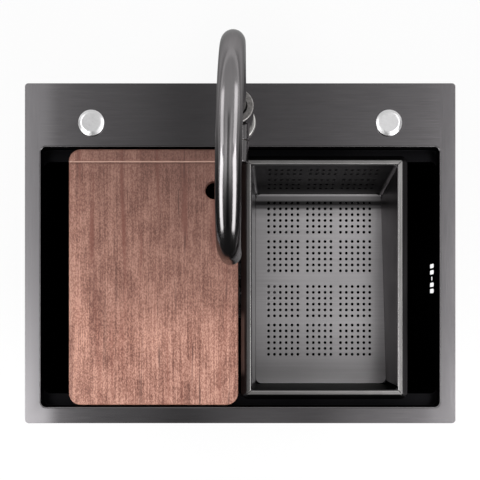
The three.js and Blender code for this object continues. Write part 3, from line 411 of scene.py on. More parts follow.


# The deck is brushed along its length at the back and front, and front to back on the side rims. The side
# rims carry a painted reflection of the side lights.
def deckFinish():
    steel = Finish("deckSteel")
    x, y, _ = steel.axes()
    side = abs(x).rise(*deckTones["sideRim"])

    def brushed(long, short, detail, rough=0.5):
        across = steel.grain((long, short, long), detail, rough)
        return across * (1 - side) + steel.grain((short, long, long), detail, rough) * side

    fine, wide = brushed(26.0, 1400.0, 3.0, 0.65), brushed(9.0, 330.0, 2.0)
    cloud = steel.grain((9.0, 14.0, 9.0))
    tone = 0.6 * fine + 0.22 * wide + 0.18 * cloud
    plain = steel.ramp(tone, (0.30, deckTones["dark"]), (0.70, deckTones["light"]))
    left, right = 1 - x.rise(*deckTones["leftRim"]), x.rise(*deckTones["rightRim"])
    front = 1 - y.rise(*deckTones["front"])
    sides = ((left, deckTones["leftLit"]), (right, deckTones["rightLit"]))
    # painted reflection of the side lights on the left and right rims
    lit = sum(rim * (always + more * front) for rim, (always, more) in sides)
    relief = steel.bump(0.75 * fine + 0.25 * wide, 0.006)
    return steel.metal(steel.blend(lit, plain, deckTones["bright"]), 0.10 + 0.06 * fine, relief)


# Painted shade inside the bowl, and a painted highlight on its lip
bowlTones = {"dark": (0.004, 0.004, 0.0045), "light": (0.009, 0.0085, 0.0095), "lip": (0.24, 0.23, 0.235)}


# The bowl's inside: its steel painted nearly black as painted shade, with a painted highlight along its lip
def bowlFinish():
    coat = Finish("bowlShadeAndSheen")
    lip = coat.axes()[2].rise(bowl["top"] - 1.1, bowl["top"] - 0.7)
    fine = coat.grain((6.0, 6.0, 700.0))
    inside = coat.ramp(fine, (0.3, bowlTones["dark"]), (0.75, bowlTones["light"]))
    return coat.metal(coat.blend(lip, inside, bowlTones["lip"]), 0.36 - 0.12 * lip, coat.bump(fine, 0.04))


# The sprayed damping coat on the bowl's outside
def sprayFinish():
    spray = Finish("dampingCoat")
    drops = spray.add("ShaderNodeTexVoronoi", {}, {"Vector": spray.place(), "Scale": 420.0})
    cloud = spray.speck(30.0, 3.0)
    return spray.done(
        Base_Color=spray.ramp(cloud, (0.3, (0.055, 0.056, 0.060)), (0.7, (0.095, 0.096, 0.100))),
        Roughness=0.62 + 0.2 * cloud,
        Normal=spray.bump(drops, 0.25, 0.7),
    )


basketTones = {
    "bar": (0.36, 0.35, 0.345), "barEdgeShade": (0.018, 0.018, 0.019),
    "outerEdge": (0.7, 1.5), "innerEdge": (3.8, 5.2),
    "wall": (0.085, 0.083, 0.085), "side": (0.165, 0.158, 0.162), "foot": (0.050, 0.047, 0.049),
    "shade": (0.022, 0.021, 0.022), "strip": ((4.5, 6.5), (48, 60), (125, 140)),
    "floor": (0.93, 0.90, 0.915), "floorRightLight": (150, 205),
    "floorLightAndShade": ((30, 1.0), (34, 1.0), (37, 0.66), (44, 0.42), (52, 0.32), (62, 0.31), (85, 0.40), (120, 0.50),
              (270, 0.56), (283.5, 0.44), (286.5, 0.14), (289.5, 0.11), (291, 0.03), (295.5, 0.03),
              (297.5, 0.20), (303, 0.24), (304.5, 0.55), (306, 0.55)),
}


# Bright bars, brushed along their length, with painted shade on the outer edge and a painted highlight
# towards the inner edge. The axis is the one across the bar; bright makes a lit or shaded copy of the same
# steel.
def barFinish(name, axis, bright=1.0):
    steel = Finish(name)
    fine = steel.grain(((700.0, 5.0, 5.0), (5.0, 700.0, 5.0))[axis], 3.0, 0.6)
    cloud = steel.grain((30.0, 30.0, 16.0))
    low, high = ([value * share * bright for value in basketTones["bar"]] for share in (0.62, 1.2))
    middle = (basket["x"], basket["y"])[axis]
    inwards = basket["bars"][axis] / 2 - abs(steel.axes()[axis] - middle)
    # a painted highlight towards the inner edge, and painted shade on the outer edge
    tone = 0.45 * fine + 0.3 * cloud + 0.25 * inwards.rise(*basketTones["innerEdge"])
    edge = 0.85 * (1 - inwards.rise(*basketTones["outerEdge"]))
    colour = steel.blend(edge, steel.ramp(tone, (0.25, low), (0.65, high)), basketTones["barEdgeShade"])
    return steel.metal(colour, 0.22 + 0.12 * fine, steel.bump(fine, 0.02))


# Thin steel, painted darker as painted shade in the tub. A strip at its front left may carry a painted
# highlight.
def tubFinish(name, part, edge=1.0, paintedGlint=0.0):
    steel = Finish(name)
    fine, cloud = steel.grain((8.0, 8.0, 600.0)), steel.grain((12.0, 12.0, 20.0))
    low, high = ([value * share for value in basketTones[part]] for share in (0.7, 1.3))
    plain = steel.ramp(0.4 * fine + 0.6 * cloud, (0.3, low), (0.7, high))
    x, y, _ = steel.axes()
    right, front, back = basketTones["strip"]
    strip = paintedGlint * (1 - x.rise(*right)) * y.rise(*front) * (1 - y.rise(*back))
    colour = steel.blend(strip, plain, basketTones["bar"])
    return steel.metal(colour, 0.25 + 0.12 * fine, steel.bump(fine, 0.02), edge)


# The perforated floor with painted light and shade: a painted shadow band near its back edge, dimmer and then
# brighter towards the front, and brighter to the right
def floorFinish():
    steel = Finish("basketFloorSteel")
    x, y, _ = steel.axes()
    fine, cloud = steel.grain((5.0, 650.0, 5.0), 3.0, 0.6), steel.grain((14.0, 9.0, 9.0))
    # painted light and shade from front to back, and painted light to the right
    tone = steel.curve(y, 28, 308, basketTones["floorLightAndShade"]) * (0.75 + 0.25 * fine + 0.25 * cloud)
    tone = tone * (0.95 + 0.3 * x.rise(*basketTones["floorRightLight"]))
    colour = steel.blend(tone, (0.0, 0.0, 0.0), basketTones["floor"])
    return steel.metal(colour, 0.26 + 0.12 * fine, steel.bump(fine, 0.02))


tapTones = {
    "dark": (0.185, 0.176, 0.180), "light": (0.265, 0.252, 0.256), "pale": (0.36, 0.345, 0.352),
    "deep": (0.04, 0.038, 0.04), "collar": ((0.27, 0.257, 0.25), (0.37, 0.353, 0.343)),
    "gap": (0.004, 0.004, 0.004), "gapShadeReach": (12.4, 13.0),
}


# Painted reflections: paler on the arch and on the body, darker on the spout's front end
def tapFinish():
    metal = Finish("tapMetal")
    fine, cloud = metal.grain((500.0, 40.0, 40.0), 3.0, 0.6), metal.grain((25.0, 25.0, 12.0))
    _, y, z = metal.axes()
    # painted highlight on the arch and the body, painted shade on the spout's front end
    arch = y.rise(240, 300) * (1 - 0.7 * y.rise(340, 380)) * z.rise(200, 300)
    body = 0.9 * (1 - z.rise(110, 130))
    end = (1 - z.rise(280, 380)) * (1 - y.rise(210, 230))
    plain = metal.ramp(0.3 * fine + 0.7 * cloud, (0.3, tapTones["dark"]), (0.7, tapTones["light"]))
    paintedSheen = metal.blend(0.35 * arch.most(body), plain, tapTones["pale"])
    colour = metal.blend(0.80 * end, paintedSheen, tapTones["deep"])
    return metal.metal(colour, 0.15 + 0.05 * fine, metal.bump(fine, 0.01, 0.3), 0.5)


# The collar's top: paler outside as a painted highlight, and nearly black round the spout as painted shade in
# the gap
def collarFinish():
    metal = Finish("tapCollar")
    x, y, _ = metal.axes()
    reach = ((x - tap["x"]) ** 2 + (y - tap["y"]) ** 2) ** 0.5
    speck = metal.speck(300.0)
    low, high = tapTones["collar"]
    pale = metal.ramp(speck, (0.3, low), (0.7, high))
    # painted shade in the gap round the spout
    colour = metal.blend(1 - reach.rise(*tapTones["gapShadeReach"]), pale, tapTones["gap"])
    return metal.metal(colour, 0.24 + 0.08 * speck, metal.bump(speck, 0.02, 0.3))


# Plain or polished metal. The share is how much the fine specks count against the soft clouds.
def metalFinish(name, low, high, rough, cells=(350.0, 40.0), share=0.4, spread=0.15, depth=0.04):
    metal = Finish(name)
    speck, cloud = metal.speck(cells[0], 3.0, 0.6), metal.speck(cells[1])
    colour = metal.ramp(share * speck + (1 - share) * cloud, (0.3, low), (0.7, high))
    return metal.metal(colour, rough + spread * speck, metal.bump(speck, depth))


# Moulded plastic or rubber: a fine even grain and a slightly uneven sheen. Glow makes it shine by itself, as
# painted light.
def mouldedFinish(name, low, high, rough, depth, glow=0.0):
    shell = Finish(name)
    pits, cloud = shell.speck(900.0), shell.speck(35.0)
    return shell.done(
        Base_Color=shell.ramp(0.3 * pits + 0.7 * cloud, (0.3, low), (0.7, high)),
        Emission_Color=(1.0, 1.0, 1.0, 1.0),
        Emission_Strength=glow,
        Roughness=rough + 0.12 * pits,
        Normal=shell.bump(pits, depth, 0.6),
    )


walnut = {
    "dark": (0.168, 0.062, 0.042), "middle": (0.372, 0.174, 0.126), "light": (0.605, 0.326, 0.248),
    "line": (0.070, 0.024, 0.017), "red": (0.250, 0.078, 0.052), "shade": (0.060, 0.021, 0.015),
    "pale": (0.62, 0.40, 0.32), "groove": (332.0, 334.6, 336.9), "stripes": (0.205, -145, -95),
    "paintedShadeAlong": ((20, 1.10), (75, 1.10), (100, 1.02), (130, 0.90), (155, 0.80), (195, 0.72), (250, 0.66),
              (300, 0.58), (345, 0.50)),
    # Each grain: cells across and along, detail, roughness, bend, and the step that sharpens it
    "grains": {
        "band": (22.0, 2.0, 3.0, 0.55, 0.4, 0.36, 0.64),
        "smudge": (38.0, 30.0, 3.0, 0.5, 0.0, 0.34, 0.66),
        "lines": (240.0, 5.0, 2.0, 0.6, 0.0, 0.37, 0.63),
        "threads": (560.0, 14.0, 1.0, 0.5, 0.0, 0.36, 0.64),
        "pores": (820.0, 420.0, 1.0, 0.5, 0.0, 0.35, 0.65),
        "red": (95.0, 5.0, 2.0, 0.5, 0.3, 0.55, 0.68),
        "streak": (170.0, 8.0, 2.0, 0.5, 0.0, 0.62, 0.72),
    },
    "shares": {"band": 0.08, "smudge": 0.22, "lines": 0.12, "threads": 0.22, "pores": 0.42},
}


# Straight grain along Y: fine dark lines, regular stripes on the right, reddish streaks and soft smudges,
# with painted shade towards the back and under the tap, and a painted highlight and shade in the groove
def walnutFinish():
    wood = Finish("walnutBoard")
    x, y, _ = wood.axes()
    grains = {}
    for name, (across, along, detail, rough, bent, low, high) in walnut["grains"].items():
        grains[name] = wood.grain((across, along, across), detail, rough, bent).rise(low, high)
    share = sum(grains[name] * part for name, part in walnut["shares"].items()) - 0.03
    colour = wood.ramp(share, (0.12, walnut["dark"]), (0.50, walnut["middle"]), (0.88, walnut["light"]))
    often, left, right = walnut["stripes"]
    wave = (x + wood.grain((9.0, 3.0, 9.0)) * 12) * (2 * math.pi * often)
    stripe = wave.math("SINE", wave).rise(-0.2, 0.9) * x.rise(left, right)
    # painted shade: darker towards the back, more so at the back right under the tap, lighter along the left
    # edge
    tone = wood.curve(y, 20, 345, walnut["paintedShadeAlong"])
    tone = tone * (1.18 - 0.20 * x.rise(-225, -180) - 0.16 * x.rise(-170, -50) * y.rise(120, 260))
    low, foot, high = walnut["groove"]
    layers = (
        (0.21 * stripe * (1 - 0.6 * grains["smudge"]), "line"),
        (grains["red"] * (0.25 + 0.5 * y.rise(160, 260)), "red"),
        (grains["streak"] * (0.3 + 0.4 * x.rise(-180, -100)), "line"),
        (1.29 * (1 - tone), "shade"),
        (0.65 * y.rise(foot, foot + 0.5) * (1 - y.rise(high - 0.5, high)), "pale"),  # painted highlight on the groove's lit side
        (0.4 * y.rise(low, low + 0.6) * (1 - y.rise(foot - 0.5, foot)), "line"),  # and painted shade on its shaded side
    )
    for share, name in layers:
        colour = wood.blend(share, colour, walnut[name])
    return wood.done(
        Base_Color=colour,
        Roughness=0.50 + 0.16 * grains["lines"],
        Normal=wood.bump(0.4 * grains["lines"] + 0.6 * grains["pores"], 0.10, 0.5),
    )


# Finishes that several pieces share
plainSteel = metalFinish("plainSteel", (0.42, 0.42, 0.43), (0.60, 0.60, 0.61), 0.28)
brass = metalFinish("brass", (0.48, 0.34, 0.13), (0.68, 0.50, 0.22), 0.28)
rubber = mouldedFinish("rubber", (0.018, 0.018, 0.019), (0.034, 0.034, 0.035), 0.72, 0.10)
whitePlastic = mouldedFinish("whitePlastic", (0.74, 0.74, 0.71), (0.82, 0.82, 0.79), 0.36, 0.03)
blackPlastic = mouldedFinish("blackPlastic", (0.012, 0.012, 0.013), (0.024, 0.024, 0.025), 0.42, 0.04)


# Deck and bowl

deck = {
    "width": 570, "length": 450, "corner": 4.5, "low": 0, "high": 3, "ease": 0.45, "middle": 214.45,
    "opening": (531.2, 347.3, 8.8), "bowlMiddle": 182.9, "fittings": 386.45,
    "tapX": -3, "tapHole": 17.5, "capX": 196.5, "capHole": 14,
}


def deckPlate():
    holes = [roundedLoop(*deck["opening"], 10, (0, deck["bowlMiddle"]))]
    for x, hole in ((deck["tapX"], "tapHole"), (-deck["capX"], "capHole"), (deck["capX"], "capHole")):
        holes.append(circle(deck[hole], 40, (x, deck["fittings"])))
    outline = roundedLoop(deck["width"], deck["length"], deck["corner"], 8, (0, deck["middle"]))
    return plate("deck_plate", outline, holes, deck["low"], deck["high"], deck["ease"], 3)


bowl = {
    "width": 528.6, "length": 344.7, "inner": 310.7, "corner": 7.5, "wall": 1.2, "top": 3, "lip": 0.3,
    "ledge": -17.3, "ledgeRound": 2.0, "fallRound": 1.5, "floor": -212, "foot": 8, "footCorner": 0.47,
    "dish": (-217, 60), "seat": (-220, 57.5), "hole": 44.5,
    "slots": 5, "slotY": 8.6, "slotWidth": 5.8, "slotHeight": 28, "slotShort": 11.5, "slotZ": -48,
}


def bowlShell():
    wide, long, inner, corner = bowl["width"], bowl["length"], bowl["inner"], bowl["corner"]
    top, wall, lip, hole = bowl["top"], bowl["wall"], bowl["lip"], bowl["hole"]
    ledge, floor, foot = bowl["ledge"], bowl["floor"], bowl["foot"]

    def ring(z, width, length, radius):
        return raised(roundedLoop(width, length, radius, 8, (0, deck["bowlMiddle"])), z)

    # One side of the sheet from under the lip down to the seat, as far out as it has grown
    def side(grow):
        out, rings = wide + 2 * grow, []
        for back, left in rounding(3):
            back, left = bowl["ledgeRound"] * back, bowl["ledgeRound"] * left
            rings.append(ring(ledge - grow + left, out, long + 2 * grow - 2 * back, corner + grow))
        for drop, left in rounding(3):
            drop, left = bowl["fallRound"] * drop, bowl["fallRound"] * left
            rings.append(ring(ledge - grow - drop, out, inner + 2 * grow + 2 * left, corner + grow))
        for back, left in rounding(6):
            back, left = foot * back, foot * left
            rings.append(ring(floor - grow + left, out - 2 * back, inner + 2 * grow - 2 * back,
                              corner + grow - back * bowl["footCorner"]))
        for z, radius in (bowl["dish"], bowl["seat"]):
            rings.append(ring(z - grow, 2 * (radius + grow), 2 * (radius + grow), radius + grow))
        return rings

    edge = [ring(top - drop, wide + 2 * out, long + 2 * out, corner + out)
            for drop, out in ((lip, wall), (0, wall - lip), (0, lip), (lip, 0))]
    bottom = [ring(bowl["seat"][0] - drop, 2 * hole, 2 * hole, hole) for drop in (0, wall)]
    shell = skin("bowl", edge + side(0) + bottom + side(wall)[::-1], loop=True)
    tools = []
    for i in range(bowl["slots"]):
        aside = i - bowl["slots"] // 2
        height = bowl["slotHeight"] if aside else bowl["slotShort"]
        slot = prism("slot", roundedLoop(bowl["slotWidth"], height, bowl["slotWidth"] / 2 - 0.01, 6), -3, 3)
        place = shift(wide / 2 + wall / 2, deck["bowlMiddle"] + aside * bowl["slotY"], bowl["slotZ"])
        tools.append(move(slot, turn(90, "X"), turn(90, "Z"), place))
    return carve(shell, *tools)


lugs = {"x": 271.25, "y": (89.55, 276.25), "size": (12.4, 16), "top": -20, "thick": 2.5, "hole": (271.5, 2.7)}
studs = {"y": (150.9, 214.9), "radius": 2, "from": 265.5, "to": 274.5, "ease": 0.5, "z": -48}


def lugPlates():
    made = []
    wide, long = lugs["size"]
    away, radius = lugs["hole"]
    low, top = lugs["top"] - lugs["thick"], lugs["top"]
    for side in (-1, 1):
        for y in lugs["y"]:
            x = side * lugs["x"]
            lug = roundedBlock("lug", (x - wide / 2, y - long / 2, low), (x + wide / 2, y + long / 2, top))
            made.append(carve(lug, prism("hole", circle(radius, 20, (side * away, y)), low - 2, top + 2)))
    return together("clip_lugs", *made)


def studPins():
    made = []
    for y in studs["y"]:
        pin = rod("stud", studs["radius"], studs["from"], studs["to"], 20, highEase=studs["ease"])
        made.append(move(pin, turn(90, "Y"), shift(0, y, studs["z"])))
    return together("overflow_studs", *made)


deckSteel, bowlShadeAndSheen, dampingCoat = deckFinish(), bowlFinish(), sprayFinish()
fit(deckPlate(), "sink", deckSteel, "deck_steel", "top_plate")
bowlPiece = fit(bowlShell(), "sink", [bowlShadeAndSheen, dampingCoat], "bowl_steel", "bowl_shell")
for face in bowlPiece.data.polygons:
    spot = face.center / mm
    outX, outY = abs(spot.x) - bowl["width"] / 2, abs(spot.y - deck["bowlMiddle"])
    outside = outX > 1 or outY > bowl["length"] / 2 + 1 or (spot.z < -17.5 and outY > bowl["inner"] / 2 + 1)
    under = face.normal.z < -0.2 and (spot.z < bowl["floor"] - 1 or -19 < spot.z < -18)
    face.material_index = 1 if (outside or under) and spot.z < 1.5 else 0
fit(lugPlates(), "sink", plainSteel, "bowl_steel")
fit(studPins(), "sink", plainSteel, "bowl_steel")
print("deck and bowl made")


# Hole caps

cap = {
    "radius": 17.2, "low": 4.6, "rimTop": 6.6, "top": 8.8, "flat": 12.2, "bevel": 1.6, "hollow": 0.15,
    "stud": 4, "studEnd": -27.4, "thread": 1.25, "threadDepth": 0.35, "threadTop": -8,
}


# A satin disc with a hollow bevel round it, on a threaded stud
def holeCap(name, x):
    stud, end, top, flat = cap["stud"], cap["studEnd"], cap["top"], cap["flat"]
    profile = [(0, end), (stud - 0.5, end), (stud, end + 0.6)]
    z = end + 1
    while z < cap["threadTop"]:
        profile += [(stud, z), (stud - cap["threadDepth"], z + cap["thread"] / 2)]
        z += cap["thread"]
    profile += [(stud, z), (stud, cap["low"]), (cap["radius"], cap["low"], 0.4)]
    profile += [(cap["radius"], cap["rimTop"], 0.5), (flat + cap["bevel"], top - 0.5, 1.2)]
    profile += [(flat, top, 0.5), (0, top - cap["hollow"])]
    return move(turned(name, profile, 56), shift(x, deck["fittings"], 0))


capTones = ((0.82, 0.815, 0.82), (0.94, 0.935, 0.94))
brightChrome = metalFinish("brightChrome", *capTones, 0.24, (420.0, 60.0), 0.5, 0.12, 0.02)
for sideName, x in (("left", -deck["capX"]), ("right", deck["capX"])):
    fit(holeCap("cap_" + sideName, x), "sink", brightChrome, "bright_chrome", "hole_cap_" + sideName)
print("hole caps made")


# Cutting board

board = {
    "left": -227.2, "right": -2.9, "front": 13.35, "back": 352.45, "low": -17, "top": 3, "corner": 15.5,
    "topRound": 3.2, "underRound": 1.5, "finger": (-34.6, 298.15, 12), "fingerEase": 1.6,
    "groove": (335.45, -222.7, -7.4, 1.9, 1.4), "grooveTip": (0.7, 0.3),
}


# The finger hole's cutter: it flares at both faces of the board
def fingerTool():
    x, y, radius = board["finger"]
    ease, top, low = board["fingerEase"], board["top"], board["low"]
    wide = radius + ease + 2
    mouth = [(0, low - 3), (wide, low - 3)]
    mouth += [(radius + ease * back, low + ease * left) for back, left in rounding(3)[::-1]]
    mouth += [(radius + ease * back, top - ease * left) for back, left in rounding(3)]
    mouth += [(wide, top + 3), (0, top + 3)]
    return move(turned("finger", mouth, 40), shift(x, y, 0))


def grooveTool():
    y, left, right, radius, depth = board["groove"]
    narrow, tip = radius * board["grooveTip"][0], board["grooveTip"][1]
    profile = [(0, left), (narrow, left + tip), (radius, left + radius)]
    profile += [(radius, right - radius), (narrow, right - tip), (0, right)]
    return move(turned("groove", profile, 32), turn(90, "Y"), shift(0, y, board["top"] + radius - depth))


def cuttingBoard():
    wide, long = board["right"] - board["left"], board["back"] - board["front"]
    middle = ((board["left"] + board["right"]) / 2, (board["front"] + board["back"]) / 2)
    low, top, under, over = board["low"], board["top"], board["underRound"], board["topRound"]

    def ring(z, back):
        return raised(roundedLoop(wide - 2 * back, long - 2 * back, board["corner"] - back, 12, middle), z)

    rings = [ring(low + under * k / 3, under * (1 - math.sqrt(1 - (1 - k / 3) ** 2))) for k in range(4)]
    rings += [ring(top - over * left, over * back) for back, left in rounding(6)]
    return carve(skin("board", rings), fingerTool(), grooveTool(), crease=40)


walnutBoard = walnutFinish()
fit(cuttingBoard(), "board", walnutBoard, "walnut", "cutting_board")
print("cutting board made")


# Draining basket

basket = {
    "x": 113.0, "y": 182.9, "foot": (224, 327, 10), "bars": (209.6, 315.2, 3), "hole": (197.6, 303.2, 6),
    "low": -17, "footTop": -15.2, "slopeTop": -11.8, "top": -10, "fold": 1.2, "foldTop": 0.6, "ease": 0.3,
    "bar": 6, "barThick": 0.9, "barRound": (1.1, 0.7), "mitreGap": 0.5, "mitreCut": 1.0,
    "wall": 1, "gap": 0.3, "tubLow": -97.1, "lip": 6, "footRound": 3.0,
    "lean": {"left": 6, "rightFront": 1, "rightBack": 8.5, "front": 1, "back": 27},
    "levels": 5, "parts": 10, "longSide": 100,
}


# The tub's outline at a level, drawn in from the rim's hole. The back wall leans most.
def tubLoop(z, inset, steps=6, corner=None):
    wide, long = (size - 2 * (basket["gap"] + inset) for size in basket["hole"][:2])
    radius = corner or max(basket["hole"][2] - basket["gap"] - inset, 1)
    share = (basket["top"] - z) / (basket["top"] - basket["tubLow"])
    lean, made = basket["lean"], []
    for x, y in roundedLoop(wide, long, radius, steps):
        across, along = x / wide + 0.5, y / long + 0.5
        right = lean["rightFront"] + (lean["rightBack"] - lean["rightFront"]) * along
        left, front = -wide / 2 + lean["left"] * share, -long / 2 + lean["front"] * share
        made.append((
            basket["x"] + left + (wide / 2 - right * share - left) * across,
            basket["y"] + front + (long / 2 - lean["back"] * share - front) * along,
        ))
    return made


# The outline with its long sides in short steps, so that the twisted side walls stay even
def wallLoop(z, inset, corner=None):
    loop, made = tubLoop(z, inset, corner=corner), []
    for start, end in zip(loop, loop[1:] + loop[:1]):
        parts = basket["parts"] if math.dist(start, end) > basket["longSide"] else 1
        made += [tuple(a + (b - a) * k / parts for a, b in zip(start, end)) for k in range(parts)]
    return raised(made, z)


def basketTub():
    top, low, wall, curve = basket["top"], basket["tubLow"], basket["wall"], basket["footRound"]
    levels = [top + (low + curve - top) * k / basket["levels"] for k in range(basket["levels"])]
    rings = [wallLoop(z, 0) for z in levels]
    rings += [wallLoop(low + curve * left, curve * back) for back, left in rounding(4)]
    rings += [wallLoop(z, wall + basket["lip"], 3) for z in (low, low + wall)]
    inner = curve - wall
    rings += [wallLoop(low + wall + inner * left, wall + inner * back) for back, left in rounding(4)[::-1]]
    rings += [wallLoop(z, wall) for z in levels[::-1]]
    return skin("basket_walls", rings, loop=True)


# The floor's drain holes, in blocks with wider gaps between them, and the rows of holes in the back wall
drain = {
    "radius": 2.1, "pitch": 8.44, "columns": (6, 5, 6), "rows": (6, 6, 6, 6), "columnGap": 5.4, "rowGap": 4.9,
    "middleGap": 9.4, "left": 40.0, "front": 75.6, "low": -95.8, "top": -95.0, "ease": 0.2, "inset": 1.3,
    "floorCorner": 9, "wallLevels": (-23.5, -35.0, -52.0, -66.0, -78.0),
}


def spaced(counts, gap, middleGap=0):
    places, at = [], 0
    for block, count in enumerate(counts):
        places += [at + i * drain["pitch"] for i in range(count)]
        at += count * drain["pitch"] + gap + (middleGap if block + 1 == len(counts) / 2 else 0)
    return places


drainColumns = [drain["left"] + at for at in spaced(drain["columns"], drain["columnGap"])]
drainRows = [drain["front"] + at for at in spaced(drain["rows"], drain["rowGap"], drain["middleGap"])]


def basketFloor():
    outline = tubLoop((drain["low"] + drain["top"]) / 2, drain["inset"], 8, drain["floorCorner"])
    holes = [circle(drain["radius"], 14, (x, y)) for x in drainColumns for y in drainRows]
    return plate("basket_sieve", outline, holes, drain["low"], drain["top"], drain["ease"])


def backHoles():
    lean = basket["lean"]["back"] / (basket["top"] - basket["tubLow"])
    wallY = basket["y"] + basket["hole"][1] / 2 - basket["gap"] - basket["wall"] / 2
    made = []
    for z in drain["wallLevels"]:
        y = wallY - lean * (basket["top"] - z)
        for x in drainColumns:
            tool = prism("hole", circle(drain["radius"], 12), -beyond, beyond)
            made.append(move(tool, turn(90 - math.degrees(math.atan(lean)), "X"), shift(x, y, z)))
    return together("wallHoles", *made)


# The folded rim below its bars: foot, slope and inner edge
def basketRim():
    low, footTop, slopeTop = basket["low"], basket["footTop"], basket["slopeTop"]
    foot, bars, hole = basket["foot"], basket["bars"], basket["hole"]
    under, ease, top = basket["fold"], basket["ease"], basket["top"] - basket["foldTop"]

    def ring(z, size, back=0.0):
        wide, long, corner = size
        corner, middle = max(corner - back, 0.6), (basket["x"], basket["y"])
        return raised(roundedLoop(wide - 2 * back, long - 2 * back, corner, 8, middle), z)

    rings = [ring(low, foot), ring(footTop - 0.4, foot), ring(footTop, foot, 0.4),
             ring(slopeTop - ease, bars, -0.5), ring(slopeTop, bars), ring(top - ease, bars),
             ring(top, bars, ease), ring(top, hole, -ease), ring(top - ease, hole), ring(low, hole),
             ring(low, hole, -under), ring(top - under, hole, -under), ring(slopeTop - under, bars, under),
             ring(footTop - under, foot, under), ring(low, foot, under)]
    return skin("basket_rim_fold", rings, loop=True)


# One bright bar of the rim, with mitred ends whose outer tips are cut off
def rimBar(side):
    axis = 0 if side in ("left", "right") else 1
    sign = 1 if side in ("right", "back") else -1
    outer, reach = basket["bars"][axis] / 2, basket["bars"][1 - axis] / 2
    gap, cut, wide = basket["mitreGap"], basket["mitreCut"], basket["bar"]
    low, top = basket["top"] - basket["barThick"], basket["top"]

    def ring(z, back):
        far, near = outer - back, outer - wide + back
        half = [(near, reach - wide - gap - 0.4 * back), (far - cut, reach - gap - cut - back),
                (far, reach - gap - 1.4 * back - cut)]
        loop = [(across, -along) for across, along in half[::-1]] + half
        made = []
        for across, along in loop:
            spot = (sign * across, sign * along) if axis == 0 else (-sign * along, sign * across)
            made.append((basket["x"] + spot[0], basket["y"] + spot[1], z))
        return made

    inwards, down = basket["barRound"]
    rings = [ring(low, 0)] + [ring(top - down * left, inwards * back) for back, left in rounding(3)]
    return skin("rim_bar_" + side, rings)


# Painted light and shade: the right bar is painted brighter and the left bar darker, as copies of the same
# steel
barAcross, barRightLit = barFinish("basketBarAcross", 1), barFinish("basketBarRightLit", 0, 1.15)
barLeftShaded = barFinish("basketBarLeftShaded", 0, 0.62)
# the rim's foot carries a painted highlight at its front left
basketWall, basketFoot = tubFinish("basketWall", "wall"), tubFinish("basketFoot", "foot", 0.65, 0.6)
# The right wall's finish is a lighter copy and the front's a darker copy of the tub's steel: painted light
# and painted shade
basketSidePaintedLight, basketShade = tubFinish("basketSidePaintedLight", "side", 0.4), tubFinish("basketShade", "shade", 0.12)
basketFloorSteel = floorFinish()
tubPiece = carve(basketTub(), backHoles())
fit(tubPiece, "basket", [basketWall, basketShade, basketSidePaintedLight], "basket_steel", "basket_tub")
# Painted shade on the front wall and painted light on the right wall
for face in tubPiece.data.polygons:
    spot = face.center / mm
    if spot.y < 40 and face.normal.y > -0.5:
        face.material_index = 1
    elif spot.x > 200 and face.normal.x < 0.5:
        face.material_index = 2
fit(basketFloor(), "basket", basketFloorSteel, "basket_steel", "basket_floor")
fit(basketRim(), "basket", basketFoot, "basket_steel", "basket_rim")
for side, finish in (("left", barLeftShaded), ("right", barRightLit), ("front", barAcross), ("back", barAcross)):
    fit(rimBar(side), "basket", finish, "basket_steel")
print("basket made, with", len(drainColumns) * (len(drainRows) + len(drain["wallLevels"])), "holes")


# Tap

tap = {
    "x": -3, "y": 386.45, "turn": -1.4, "valveZ": 61,
    "flange": (15.9, 23.7, 5.1, 10.1), "body": (20.3, 10.4, 94.3), "socket": (15.35, 78.8),
    "collar": (11.7, 20.3, 94.6, 97.3), "valve": (15.7, 35.7), "valveBore": (13.9, 6),
    "spout": (11.4, 1.5), "spoutLow": 80.4, "spring": 318, "arch": 95, "spoutEnd": 255.7,
    "aerator": (9.7, 243.0, 255.4), "insert": (9.4, 241.4, 250.4), "web": (2.6, 4.2, 5.8),
    "handle": (15.7, 36.5, 63, 1.2), "tilt": 21.5, "stem": (6.2, 7.6, 47.8), "mouth": (8.4, 2),
    "lever": (51, 6.8, 85.7, 3.4, 4.3), "leverEase": 1.4, "grub": (43.5, 2.7, -3.5), "clear": 0.3,
}
tapPlace = shift(tap["x"], tap["y"], 0) @ turn(tap["turn"], "Z")
valvePlace = tapPlace @ shift(0, 0, tap["valveZ"]) @ turn(90, "X")
outletPlace = tapPlace @ shift(0, -2 * tap["arch"], 0)


def tapFlange():
    bore, radius, low, top = tap["flange"]
    profile = [(bore, low), (radius, low, 0.5), (radius, top, 1.8), (bore, top)]
    return move(turned("flange", profile, 72, hollow=True, steps=6), tapPlace)


# The column with the valve's housing, bored for the valve and for the spout
def tapBody():
    radius, low, top = tap["body"]
    outer, reach = tap["valve"]
    inner, start = tap["valveBore"]
    across, floor = tap["socket"]
    whole = move(rod("tap_column", radius, low, top, 72, 0.5, 0.5), tapPlace)
    carve(whole, move(rod("housing", outer, 0, reach, 60, highEase=0.7), valvePlace), way="UNION")
    bore = move(rod("bore", inner, start, reach + beyond, 60), valvePlace)
    return carve(whole, bore, move(rod("socket", across, floor, top + beyond, 60), tapPlace))


def spoutCollar():
    bore, radius, low, top = tap["collar"]
    profile = [(bore, low, 0.2), (radius, low, 0.3), (radius, top, 1.2), (bore, top, 0.5)]
    return move(turned("spout_ring", profile, 72, hollow=True, steps=5), tapPlace)


def spoutTube():
    low, spring, arch, end = tap["spoutLow"], tap["spring"], tap["arch"], tap["spoutEnd"]
    path = [(0, low + (spring - low) * k / 6) for k in range(6)]
    path += bend((0, spring), (-arch, spring + arch), (-arch, spring), 24)
    path += bend((-arch, spring + arch), (-2 * arch, spring), (-arch, spring), 24)[1:]
    path += [(-2 * arch, spring + (end - spring) * k / 3) for k in (1, 2, 3)]
    return move(planarTube("spout_tube", path, *tap["spout"], 40), tapPlace)


